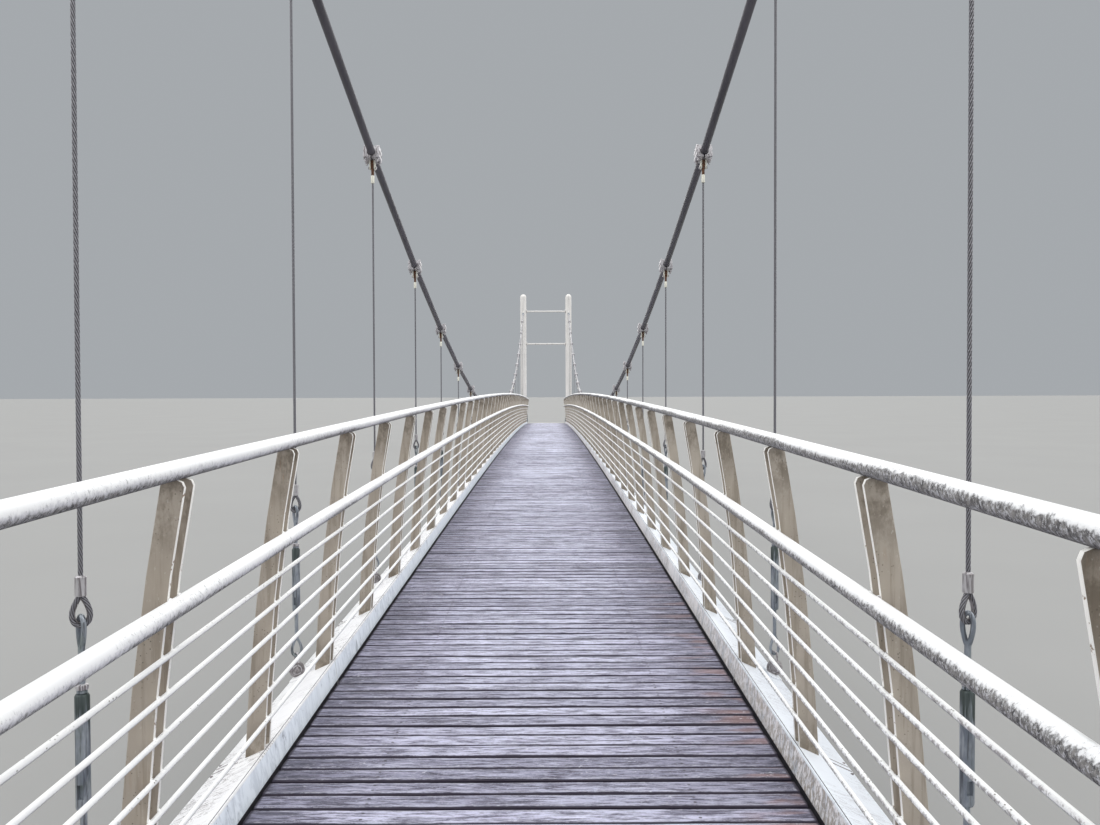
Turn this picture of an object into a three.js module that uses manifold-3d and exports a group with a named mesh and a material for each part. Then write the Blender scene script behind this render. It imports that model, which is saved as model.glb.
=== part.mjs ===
// Suspension footbridge of steel wire rope with a timber deck, as a scale model at half size.
// Units are millimetres, +Z is up, and +Y runs along the bridge. A walker who goes along +Y has
// +X at the right hand. The origin lies on the floor, under the middle of the span.
import * as THREE from "three";
import { mergeVertices } from "three/addons/utils/BufferGeometryUtils.js";
import Module from "manifold-3d";

const wasm = await Module();
wasm.setup();

// One real metre, in millimetres of the model. Every size below is the real one times m.
const m = 500;

// What lies between two pieces that touch
const GAP = 0.3;

// Span and deck
const HALF_SPAN = 24 * m;
const CROWN = 1.6 * m; // top of the deck over the floor, at mid-span
const CAMBER = 0.2765 * m; // how much lower the deck is at the towers
const BAY = 4 * m; // the deck, beams and rails are straight over this length
const DECK_END = 24.3 * m;
const DECK_HALF_WIDTH = 0.93 * m;
const DECK_THICKNESS = 0.045 * m;

// Edge beams: a folded plate, open below, that makes the kerb and carries the posts
const WEB_X = 0.945 * m;
const RIDGE_X = 0.972 * m;
const RIDGE_Z = 0.08 * m;
const FLANGE_SLOPE = 0.457;
const FLANGE_EDGE_X = 1.1 * m;
const BEAM_BOTTOM = -0.2 * m;
const PLATE = 0.01 * m;
const BEAM_END = 23.7 * m;
const FLANGE_EAR = { inner: 1.095 * m, outer: 1.168 * m, halfFoot: 0.17 * m, halfTip: 0.05 * m };

// Railings
const POST_PITCH = 1 * m;
const LAST_POST = 23 * m;
const POST_TOP = 1.166 * m;
const POST_BENDS = [0.06 * m, 0.6 * m, POST_TOP];
const POST_LEAN = [1.047 * m, -0.044, -0.058 / m]; // outer edge's x, by powers of the height
const POST_WIDTH = [0.071 * m, -0.0095]; // width, by powers of the height
const FLAT_THICKNESS = 0.011 * m;
const FLAT_SPREAD = 0.06 * m; // between the middles of a post's two flats
const RAIL_END = 23.06 * m;
const RAIL_RADIUS = 0.0255 * m;
const RAIL_SIDES = 8;
const HANDRAIL_X = 0.884 * m;
const MID_RAIL_Z = 0.845 * m;
const ROD_RADIUS = 0.008 * m;
const ROD_SIDES = 5;
const TOP_ROD_Z = 0.713 * m;
const ROD_PITCH = 0.1055 * m;
const ROD_COUNT = 6;

// Main cables and hangers
const CABLE_X = 1.14 * m;
const CABLE_RADIUS = 0.026 * m;
const CABLE_LOW = 0.75 * m; // cable over the deck's crown, at mid-span
const CABLE_CURVE = 0.00816 / m; // height gained for each unit of distance squared
const HANGER_PITCH = 2 * m;
const LAST_HANGER = 22 * m;
const CLAMP = { x: 0.106 * m, y: 0.1 * m, z: 0.13 * m, drop: 0.02 * m };
const LUG_RADIUS = 0.036 * m;
const LUG_Z = 0.037 * m;
const LUG_THICKNESS = 0.03 * m;
const LUG_FOOT = -0.01 * m;
const HANGER_SIDES = 5;
// Radius and height over the deck: the bow over the lug narrows to the lower rod, the turnbuckle
// widens again, and where the cable is high enough, the eye and ferrule carry the rope.
const BOW_FOOT_RADIUS = 0.024 * m;
const TURNBUCKLE = [[0.009 * m, 0.18 * m], [0.02 * m, 0.3 * m], [0.02 * m, 0.575 * m], [0.009 * m, 0.62 * m]];
const EYE_AND_FERRULE = [[0.012 * m, 0.86 * m], [0.0065 * m, 0.93 * m]];
const ROPE_NEEDS = 1 * m; // a lower cable than this leaves no room for the rope

// Towers
const COLUMN_RADIUS = 0.1525 * m;
const COLUMN_TOP = 6.236 * m; // over the crown
const BASE_PLATE = { side: 0.36 * m, thickness: 0.025 * m };
const UPPER_BAR_Z = 5.367 * m;
const LOWER_BAR_Z = 3.727 * m;
const BAR_RADIUS = 0.04 * m;
const BAR_FLANGE = { radius: 0.1 * m, thickness: 0.02 * m };
const CABLE_PIN_Z = 5.24 * m; // where the cables meet the towers, over the crown
const EAR_REACH = 0.38 * m; // from the column's middle to the end of its ears
const EAR = { thickness: 0.03 * m, height: 0.2 * m };

// Frame under the deck
const STRINGER_X = 0.55 * m;
const STRINGER = { width: 0.06 * m, bottom: -0.12 * m };
const CROSS_BEAM = { width: 0.08 * m, top: -0.115 * m, bottom: -0.215 * m };
const END_BEAM_HALF = 0.9 * m;

// Concrete
const ABUTMENT = { front: 23.3 * m, back: 24.85 * m, wall: 24.34 * m, halfWidth: 1.65 * m };
const ANCHOR = { front: 31.6 * m, back: 33.9 * m, halfWidth: 0.5 * m, top: 0.95 * m, chamfer: 0.3 * m };
const STAY_FOOT = { y: 32.2 * m, width: 0.3 * m, length: 0.5 * m, thickness: 0.03 * m, rope: 0.036 * m };

const WHITE_PAINT = { color: 0xe9e7df, roughness: 0.45, metalness: 0 };
const DARK_ROPE = { color: 0x3f3d42, roughness: 0.6, metalness: 0.5 };
const TIMBER = { color: 0x77717a, roughness: 0.9, metalness: 0 };
const ZINC = { color: 0x9aa0a4, roughness: 0.5, metalness: 0.8 };
const CONCRETE = { color: 0xa9a59b, roughness: 0.95, metalness: 0 };

const bridge = new THREE.Group();
bridge.name = "footbridge";

// Adds one named piece to the bridge.
function addPiece(name, geometry, finish) {
  const mesh = new THREE.Mesh(geometry, new THREE.MeshStandardMaterial(finish));
  mesh.name = name;
  bridge.add(mesh);
}

// A closed geometry as a solid that can be joined and cut.
function solidOf(geometry) {
  const bare = geometry.clone();
  bare.deleteAttribute("normal");
  bare.deleteAttribute("uv");
  const merged = mergeVertices(bare, 1e-3);
  const vertProperties = new Float32Array(merged.attributes.position.array);
  const triVerts = new Uint32Array(merged.index.array);
  return new wasm.Manifold(new wasm.Mesh({ numProp: 3, vertProperties, triVerts }));
}

// Joins closed geometries that reach into each other to one geometry.
function fuse(geometries) {
  const joined = geometries.map(solidOf).reduce((sum, next) => sum.add(next));
  const { vertProperties, triVerts } = joined.getMesh();
  const geometry = new THREE.BufferGeometry();
  geometry.setAttribute("position", new THREE.BufferAttribute(vertProperties, 3));
  geometry.setIndex(new THREE.BufferAttribute(triVerts, 1));
  geometry.computeVertexNormals();
  return geometry;
}

// Top of the deck over the floor: a parabola, taken straight between stations one bay apart.
function deckLevel(y) {
  const arch = (station) => CROWN - CAMBER * (station / HALF_SPAN) ** 2;
  const low = Math.min(Math.floor(Math.abs(y) / BAY), HALF_SPAN / BAY - 1) * BAY;
  const share = (Math.abs(y) - low) / BAY;
  return arch(low) + share * (arch(low + BAY) - arch(low));
}

// Height of the main cable over the floor at a hanger.
function cableLevel(y) {
  return CROWN + CABLE_LOW + CABLE_CURVE * y * y;
}

// An outline of [x, z] points, carried along Y from start to end in equal steps.
function barAlongY(outline, start, end, steps = 1) {
  const shape = new THREE.Shape(outline.map(([x, z]) => new THREE.Vector2(x, z)));
  const bar = new THREE.ExtrudeGeometry(shape, { depth: end - start, steps, bevelEnabled: false });
  return bar.rotateX(Math.PI / 2).translate(0, end, 0);
}

// An outline of [y, z] points, carried along X from start to end.
function plateAlongX(outline, start, end) {
  const shape = new THREE.Shape(outline.map(([y, z]) => new THREE.Vector2(y, z)));
  const plate = new THREE.ExtrudeGeometry(shape, { depth: end - start, bevelEnabled: false });
  const turn = new THREE.Matrix4().set(0, 0, 1, start, 1, 0, 0, 0, 0, 1, 0, 0, 0, 0, 0, 1);
  return plate.applyMatrix4(turn);
}

// A box between two opposite corners.
function boxBetween(low, high) {
  const size = high.map((value, axis) => value - low[axis]);
  const middle = high.map((value, axis) => (value + low[axis]) / 2);
  return new THREE.BoxGeometry(...size).translate(...middle);
}

// Points of a regular polygon around [x, z], stretched upright by the factor tall.
function ring(x, z, radius, sides, tall = 1) {
  return Array.from({ length: sides }, (_, i) => {
    const angle = ((i + 0.5) * 2 * Math.PI) / sides;
    return [x + radius * Math.cos(angle), z + tall * radius * Math.sin(angle)];
  });
}

// Moves every point of a geometry: place(x, y, z) gives its new [x, y, z].
function reshape(geometry, place) {
  const points = geometry.attributes.position;
  for (let i = 0; i < points.count; i += 1)
    points.setXYZ(i, ...place(points.getX(i), points.getY(i), points.getZ(i)));
  return geometry;
}

// A long member of constant section that follows the deck, its outline given over the deck's top.
function memberOnDeck(outline, from, to) {
  const start = Math.floor(from / BAY + 1e-6) * BAY;
  const end = Math.ceil(to / BAY - 1e-6) * BAY;
  const inner = [Math.max(start, -HALF_SPAN), Math.min(end, HALF_SPAN)];
  const bar = barAlongY(outline, inner[0], inner[1], Math.round((inner[1] - inner[0]) / BAY));
  return reshape(bar, (x, y, z) => {
    let place = y;
    if (Math.abs(y - inner[0]) < 1) place = from;
    if (Math.abs(y - inner[1]) < 1) place = to;
    return [x, place, z + deckLevel(place)];
  });
}

// Whole-number stations from -last to last, one pitch apart
function stations(pitch, last) {
  const count = Math.round(last / pitch);
  return Array.from({ length: 2 * count + 1 }, (_, i) => (i - count) * pitch);
}

// Outer edge of a post flat at a height over the deck: it leans in more towards the top, along a
// parabola that is taken straight between three bends.
function postOuter(z) {
  const curve = (height) => POST_LEAN.reduce((sum, factor, i) => sum + factor * height ** i, 0);
  const [low, high] = z < POST_BENDS[1] ? POST_BENDS.slice(0, 2) : POST_BENDS.slice(1);
  const share = (z - low) / (high - low);
  return curve(low) + share * (curve(high) - curve(low));
}
function postInner(z) {
  return postOuter(z) - (POST_WIDTH[0] + POST_WIDTH[1] * z);
}

// Top of the sloping flange over the deck, at a distance x from the middle of the bridge.
function flangeTop(x) {
  return RIDGE_Z - (x - RIDGE_X) * FLANGE_SLOPE;
}

// Timber deck

function makeDeck() {
  const half = DECK_HALF_WIDTH;
  const outline = [[-half, -DECK_THICKNESS], [half, -DECK_THICKNESS], [half, 0], [-half, 0]];
  const third = 2 * BAY;
  addPiece("near_deck", memberOnDeck(outline, -DECK_END, -third - GAP), TIMBER);
  addPiece("middle_deck", memberOnDeck(outline, -third, third), TIMBER);
  addPiece("far_deck", memberOnDeck(outline, third + GAP, DECK_END), TIMBER);
}

function makeUnderframe() {
  const top = -DECK_THICKNESS - GAP;
  const pieces = [-1, 1].map((side) => {
    const low = side * STRINGER_X - STRINGER.width / 2;
    const high = low + STRINGER.width;
    const outline = [[low, STRINGER.bottom], [high, STRINGER.bottom], [high, top], [low, top]];
    return memberOnDeck(outline, -DECK_END, DECK_END);
  });
  const crossBeam = (y, half) => {
    const z = deckLevel(y);
    const edge = CROSS_BEAM.width / 2;
    const low = [-half, y - edge, z + CROSS_BEAM.bottom];
    return boxBetween(low, [half, y + edge, z + CROSS_BEAM.top]);
  };
  for (const y of stations(HANGER_PITCH, LAST_HANGER)) pieces.push(crossBeam(y, WEB_X - GAP));
  for (const y of [-HALF_SPAN, HALF_SPAN]) pieces.push(crossBeam(y, END_BEAM_HALF));
  addPiece("underframe", fuse(pieces), ZINC);
}

// Edge beam with its posts and hanger lugs

function beamOutline(side) {
  const outside = [
    [WEB_X, BEAM_BOTTOM],
    [WEB_X, -1.5 * PLATE],
    [RIDGE_X, RIDGE_Z],
    [FLANGE_EDGE_X, flangeTop(FLANGE_EDGE_X)],
    [FLANGE_EDGE_X, BEAM_BOTTOM],
  ];
  const inside = [
    [FLANGE_EDGE_X - PLATE, BEAM_BOTTOM],
    [FLANGE_EDGE_X - PLATE, flangeTop(FLANGE_EDGE_X - PLATE) - 1.1 * PLATE],
    [RIDGE_X + 0.8 * PLATE, flangeTop(RIDGE_X + 0.8 * PLATE) - 1.1 * PLATE],
    [WEB_X + PLATE, -1.3 * PLATE],
    [WEB_X + PLATE, BEAM_BOTTOM],
  ];
  return [...outside, ...inside].map(([x, z]) => [side * x, z]);
}

function postFlat(side, y) {
  const sunk = 0.6 * PLATE;
  const outer = POST_BENDS.map((z, i) => [postOuter(z), i ? z : flangeTop(postOuter(z)) - sunk]);
  const inner = POST_BENDS.map((z, i) => [postInner(z), i ? z : flangeTop(postInner(z)) - sunk]);
  const outline = [...outer, ...inner.reverse()].map(([x, z]) => [side * x, z + deckLevel(y)]);
  return barAlongY(outline, y - FLAT_THICKNESS / 2, y + FLAT_THICKNESS / 2);
}

// The flange widens to an ear, on which the round lug of a hanger stands.
function hangerLug(side, y) {
  const { inner, outer, halfFoot, halfTip } = FLANGE_EAR;
  const ear = new THREE.Shape([
    new THREE.Vector2(inner, -halfFoot),
    new THREE.Vector2(outer, -halfTip),
    new THREE.Vector2(outer, halfTip),
    new THREE.Vector2(inner, halfFoot),
  ]);
  const plate = new THREE.ExtrudeGeometry(ear, { depth: PLATE, bevelEnabled: false });
  reshape(plate, (x, along, z) => [x, along, z + flangeTop(x) - 1.1 * PLATE]);
  const arch = Array.from({ length: 5 }, (_, i) => {
    const angle = (i * Math.PI) / 4;
    return [CABLE_X + LUG_RADIUS * Math.cos(angle), LUG_Z + LUG_RADIUS * Math.sin(angle)];
  });
  const foot = [[CABLE_X - LUG_RADIUS, LUG_FOOT], [CABLE_X + LUG_RADIUS, LUG_FOOT]];
  const disc = barAlongY([...arch, ...foot], -LUG_THICKNESS / 2, LUG_THICKNESS / 2);
  return [plate, disc].map((geometry) => {
    const placed = geometry.translate(0, y, deckLevel(y));
    return side > 0 ? placed : placed.rotateZ(Math.PI).translate(0, 2 * y, 0);
  });
}

function makeEdgeBeam(name, side) {
  const pieces = [memberOnDeck(beamOutline(side), -BEAM_END, BEAM_END)];
  for (const y of stations(POST_PITCH, LAST_POST))
    for (const shift of [-FLAT_SPREAD / 2, FLAT_SPREAD / 2]) pieces.push(postFlat(side, y + shift));
  for (const y of stations(HANGER_PITCH, LAST_HANGER)) pieces.push(...hangerLug(side, y));
  addPiece(name, fuse(pieces), WHITE_PAINT);
}

// Rails and rods

// Outline of a round bar at height z that lies with one flat against the posts' inner edges.
function barAtPosts(z, radius, sides) {
  const reach = radius * Math.cos(Math.PI / sides);
  const flatTop = z + radius * Math.sin(Math.PI / sides);
  return ring(postInner(flatTop) - reach - GAP, z, radius, sides);
}

function makeRailings(name, side) {
  const addRail = (piece, outline) => {
    const placed = outline.map(([x, z]) => [side * x, z]);
    addPiece(`${name}_${piece}`, memberOnDeck(placed, -RAIL_END, RAIL_END), WHITE_PAINT);
  };
  const handrailZ = POST_TOP + RAIL_RADIUS * Math.cos(Math.PI / RAIL_SIDES) + GAP;
  addRail("handrail", ring(HANDRAIL_X, handrailZ, RAIL_RADIUS, RAIL_SIDES));
  addRail("mid_rail", barAtPosts(MID_RAIL_Z, RAIL_RADIUS, RAIL_SIDES));
  for (let i = 0; i < ROD_COUNT; i += 1)
    addRail(`rod_${i + 1}`, barAtPosts(TOP_ROD_Z - i * ROD_PITCH, ROD_RADIUS, ROD_SIDES));
}

// Main cable with its clamps and hangers

// A hanger as a turned body, from the lug to the middle of the cable.
function hanger(side, y) {
  const foot = LUG_Z + LUG_RADIUS + GAP;
  const top = cableLevel(y) - deckLevel(y);
  const turned = [[0, foot], [BOW_FOOT_RADIUS, foot], ...TURNBUCKLE];
  if (top > ROPE_NEEDS) turned.push(...EYE_AND_FERRULE);
  const [lastRadius] = turned[turned.length - 1];
  turned.push([lastRadius, top], [0, top]);
  const profile = turned.map(([radius, height]) => new THREE.Vector2(radius, height));
  const body = new THREE.LatheGeometry(profile, HANGER_SIDES).rotateX(Math.PI / 2);
  return body.translate(side * CABLE_X, y, deckLevel(y));
}

function clamp(side, y) {
  const middle = cableLevel(y) - CLAMP.drop;
  const low = [side * CABLE_X - CLAMP.x / 2, y - CLAMP.y / 2, middle - CLAMP.z / 2];
  const high = [side * CABLE_X + CLAMP.x / 2, y + CLAMP.y / 2, middle + CLAMP.z / 2];
  return boxBetween(low, high);
}

function makeMainCable(name, side) {
  const outline = ring(side * CABLE_X, 0, CABLE_RADIUS, 8);
  const cable = barAlongY(outline, -HALF_SPAN, HALF_SPAN, (2 * HALF_SPAN) / HANGER_PITCH);
  const end = HALF_SPAN - EAR_REACH - GAP;
  reshape(cable, (x, y, z) => {
    const last = Math.abs(y) > LAST_HANGER + 1;
    return last ? [x, Math.sign(y) * end, z + CROWN + CABLE_PIN_Z] : [x, y, z + cableLevel(y)];
  });
  const pieces = [cable];
  for (const y of stations(HANGER_PITCH, LAST_HANGER)) pieces.push(clamp(side, y), hanger(side, y));
  addPiece(name, fuse(pieces), DARK_ROPE);
}

// Stay from the tower's land side down to its foot plate on the anchor block
function makeStay(name, side, end) {
  const start = HALF_SPAN + EAR_REACH + GAP;
  const top = CROWN + CABLE_PIN_Z;
  const plateBottom = ANCHOR.top + GAP;
  const bottom = plateBottom + STAY_FOOT.rope;
  const slope = (bottom - top) / (STAY_FOOT.y - start);
  const tall = Math.hypot(1, slope);
  const outline = ring(side * CABLE_X, 0, CABLE_RADIUS, 8, tall);
  const rope = barAlongY(outline, start, STAY_FOOT.y);
  reshape(rope, (x, y, z) => [x, y, z + top + slope * (y - start)]);
  const { width, length, thickness } = STAY_FOOT;
  const low = [side * CABLE_X - width / 2, STAY_FOOT.y - length / 2, plateBottom];
  const high = [low[0] + width, low[1] + length, plateBottom + thickness];
  const stay = fuse([rope, boxBetween(low, high)]);
  if (end < 0) stay.rotateZ(Math.PI).translate(2 * side * CABLE_X, 0, 0);
  addPiece(name, stay, DARK_ROPE);
}

// Towers

const SEAT = CROWN - CAMBER + CROSS_BEAM.bottom - GAP; // top of the abutment's seat

function makeColumn(name, side, end) {
  const foot = SEAT + GAP;
  const height = CROWN + COLUMN_TOP - foot;
  const dome = Array.from({ length: 5 }, (_, i) => {
    const angle = (i * Math.PI) / 8;
    const out = i === 4 ? 0 : COLUMN_RADIUS * Math.cos(angle);
    return new THREE.Vector2(out, height - COLUMN_RADIUS + COLUMN_RADIUS * Math.sin(angle));
  });
  const profile = [new THREE.Vector2(0, 0), new THREE.Vector2(COLUMN_RADIUS, 0), ...dome];
  const tube = new THREE.LatheGeometry(profile, 12).rotateX(Math.PI / 2);
  const { side: width, thickness } = BASE_PLATE;
  const plate = boxBetween([-width / 2, -width / 2, 0], [width / 2, width / 2, thickness]);
  const earZ = CROWN + CABLE_PIN_Z - foot;
  const ears = boxBetween(
    [-EAR.thickness / 2, -EAR_REACH, earZ - EAR.height / 2],
    [EAR.thickness / 2, EAR_REACH, earZ + EAR.height / 2],
  );
  const column = fuse([tube, plate, ears]);
  addPiece(name, column.translate(side * CABLE_X, end * HALF_SPAN, foot), WHITE_PAINT);
}

function makeCrossBar(name, end, z) {
  const half = CABLE_X - COLUMN_RADIUS - GAP;
  const profile = [
    [0, -half],
    [BAR_FLANGE.radius, -half],
    [BAR_FLANGE.radius, BAR_FLANGE.thickness - half],
    [BAR_RADIUS, BAR_FLANGE.thickness - half],
    [BAR_RADIUS, half - BAR_FLANGE.thickness],
    [BAR_FLANGE.radius, half - BAR_FLANGE.thickness],
    [BAR_FLANGE.radius, half],
    [0, half],
  ].map(([radius, along]) => new THREE.Vector2(radius, along));
  const bar = new THREE.LatheGeometry(profile, 10).rotateZ(-Math.PI / 2);
  addPiece(name, bar.translate(0, end * HALF_SPAN, CROWN + z), WHITE_PAINT);
}

// Concrete blocks

function makeAbutment(name, end) {
  const { front, back, wall, halfWidth } = ABUTMENT;
  const step = deckLevel(DECK_END);
  const outline = [[front, 0], [back, 0], [back, step], [wall, step], [wall, SEAT], [front, SEAT]];
  const block = plateAlongX(outline.map(([y, z]) => [end * y, z]), -halfWidth, halfWidth);
  addPiece(name, block, CONCRETE);
}

function makeAnchorBlock(name, side, end) {
  const { front, back, halfWidth, top, chamfer } = ANCHOR;
  const outline = [[front, 0], [back, 0], [back, top - chamfer], [back - chamfer, top], [front, top]];
  const middle = side * CABLE_X;
  const placed = outline.map(([y, z]) => [end * y, z]);
  addPiece(name, plateAlongX(placed, middle - halfWidth, middle + halfWidth), CONCRETE);
}

const SIDES = [["left", -1], ["right", 1]];
const ENDS = [["near", -1], ["far", 1]];

makeDeck();
makeUnderframe();
for (const [sideName, side] of SIDES) {
  makeEdgeBeam(`${sideName}_edge_beam`, side);
  makeRailings(sideName, side);
  makeMainCable(`${sideName}_main_cable`, side);
}
for (const [endName, end] of ENDS) {
  makeAbutment(`${endName}_abutment`, end);
  makeCrossBar(`${endName}_upper_crossbar`, end, UPPER_BAR_Z);
  makeCrossBar(`${endName}_lower_crossbar`, end, LOWER_BAR_Z);
  for (const [sideName, side] of SIDES) {
    makeColumn(`${endName}_${sideName}_column`, side, end);
    makeStay(`${endName}_${sideName}_stay`, side, end);
    makeAnchorBlock(`${endName}_${sideName}_anchor_block`, side, end);
  }
}

export default bridge;
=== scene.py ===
# Dresses the suspension footbridge: deck boards, kerbs, posts, rails, ropes, fittings, towers
# and concrete. Every size below is the real bridge's, in metres. Heights are over the top of the
# deck at mid-span, y runs along the bridge from mid-span, and a piece is written into its mesh at
# half size, where the frame has it.

import math

import bpy
import numpy as np
from mathutils import Matrix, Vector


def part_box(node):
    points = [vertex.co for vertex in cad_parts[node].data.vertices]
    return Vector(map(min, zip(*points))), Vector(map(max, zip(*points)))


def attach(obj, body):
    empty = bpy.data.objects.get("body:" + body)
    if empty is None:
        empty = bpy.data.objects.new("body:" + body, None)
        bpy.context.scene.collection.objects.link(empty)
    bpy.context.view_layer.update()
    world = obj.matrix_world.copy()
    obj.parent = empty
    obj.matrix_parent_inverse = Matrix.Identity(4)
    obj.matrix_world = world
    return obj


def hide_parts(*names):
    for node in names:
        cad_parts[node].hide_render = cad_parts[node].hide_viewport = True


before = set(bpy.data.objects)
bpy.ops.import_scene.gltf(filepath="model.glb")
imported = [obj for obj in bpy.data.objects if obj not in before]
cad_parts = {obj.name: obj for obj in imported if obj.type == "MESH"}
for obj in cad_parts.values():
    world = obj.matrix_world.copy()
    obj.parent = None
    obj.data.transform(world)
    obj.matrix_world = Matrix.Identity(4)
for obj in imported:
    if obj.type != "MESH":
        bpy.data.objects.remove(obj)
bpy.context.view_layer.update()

SCALE = 0.5


def real_box(node):
    """Lowest and highest corner of a node of the frame, in real metres over the floor."""
    return [np.array(corner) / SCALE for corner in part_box(node)]


# Driving dimensions

CROWN = real_box("middle_deck")[1][2]
DECK_HALF = real_box("middle_deck")[1][0]
DECK_END = real_box("far_deck")[1][1]
COLUMN_BOX = real_box("far_right_column")
CABLE_X, HALF_SPAN = ((COLUMN_BOX[0] + COLUMN_BOX[1]) / 2)[:2]
EAR_REACH = COLUMN_BOX[1][1] - HALF_SPAN
COLUMN_FOOT = COLUMN_BOX[0][2] - CROWN
COLUMN_TOP = COLUMN_BOX[1][2] - CROWN
RAIL_END = real_box("right_handrail")[1][1]
KERB_END = real_box("right_edge_beam")[1][1]

CAMBER = 0.2765
BOARD_PITCH = 0.10333
BOARD_THICKNESS = 0.045

WEB_X = 0.945
RIDGE_X = 0.962
RIDGE_Z = 0.08
FLANGE_SLOPE = 0.457
BEAM_FACE_X = 1.1
FLANGE_EDGE_X = 1.166
KERB_BOTTOM = -0.2
PLATE = 0.01
KERB_JOINTS = 4.0

POST_TOP = 1.168
FLAT_THICKNESS = 0.011
FLAT_SPREAD = 0.06
HANDRAIL_X = 0.884
RAIL_RADIUS = 0.0255
MID_RAIL_Z = 0.845
ROD_RADIUS = 0.008
ROD_HEIGHTS = 0.713 - 0.1055 * np.arange(6)

CABLE_RADIUS = 0.026
CABLE_LOW = 0.75
CABLE_CURVE = 0.00816
CABLE_PIN_Z = 5.24
HANGER_PITCH = 2.0
LAST_HANGER = 22.0
ROPE_RADIUS = 0.0065
ROPE_LAY = 0.09

UPPER_BAR_Z = 5.367
LOWER_BAR_Z = 3.727
BAR_RADIUS = 0.04

STAY_FOOT_Y = 32.2
STAY_AIM = 0.036
STAY_PIN_INSET = 0.075
FOOT_PLATE = 0.03

LAST_POST = 23.0
SIDES = {"left": -1, "right": 1}
ENDS = {"near": -1, "far": 1}

random = np.random.default_rng(24)


def deck_level(y):
    """Top of the deck: a parabola that drops by the camber from mid-span to the towers."""
    return -CAMBER * (np.asarray(y) / HALF_SPAN) ** 2


def cable_level(y):
    """Height of the main cable at a hanger: a parabola."""
    return CABLE_LOW + CABLE_CURVE * np.asarray(y) ** 2


END_SLOPE = (CABLE_PIN_Z - cable_level(LAST_HANGER)) / (HALF_SPAN - EAR_REACH - LAST_HANGER)
STAY_DROP = CABLE_PIN_Z - (real_box("far_right_stay")[0][2] + STAY_AIM - CROWN)
STAY_SLOPE = STAY_DROP / (STAY_FOOT_Y - HALF_SPAN - EAR_REACH)


def flange_top(x):
    """Top of the kerb's sloping flange over the deck."""
    return RIDGE_Z - (x - RIDGE_X) * FLANGE_SLOPE


def post_outer(h):
    """Outer edge of a post at height h over the deck: a parabola that leans in."""
    return 1.047 - 0.044 * h - 0.058 * h * h


def post_inner(h):
    """Inner edge of a post, which narrows steadily towards its top."""
    return post_outer(h) - (0.071 - 0.0095 * h)


# Shapes as arrays of points


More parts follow.
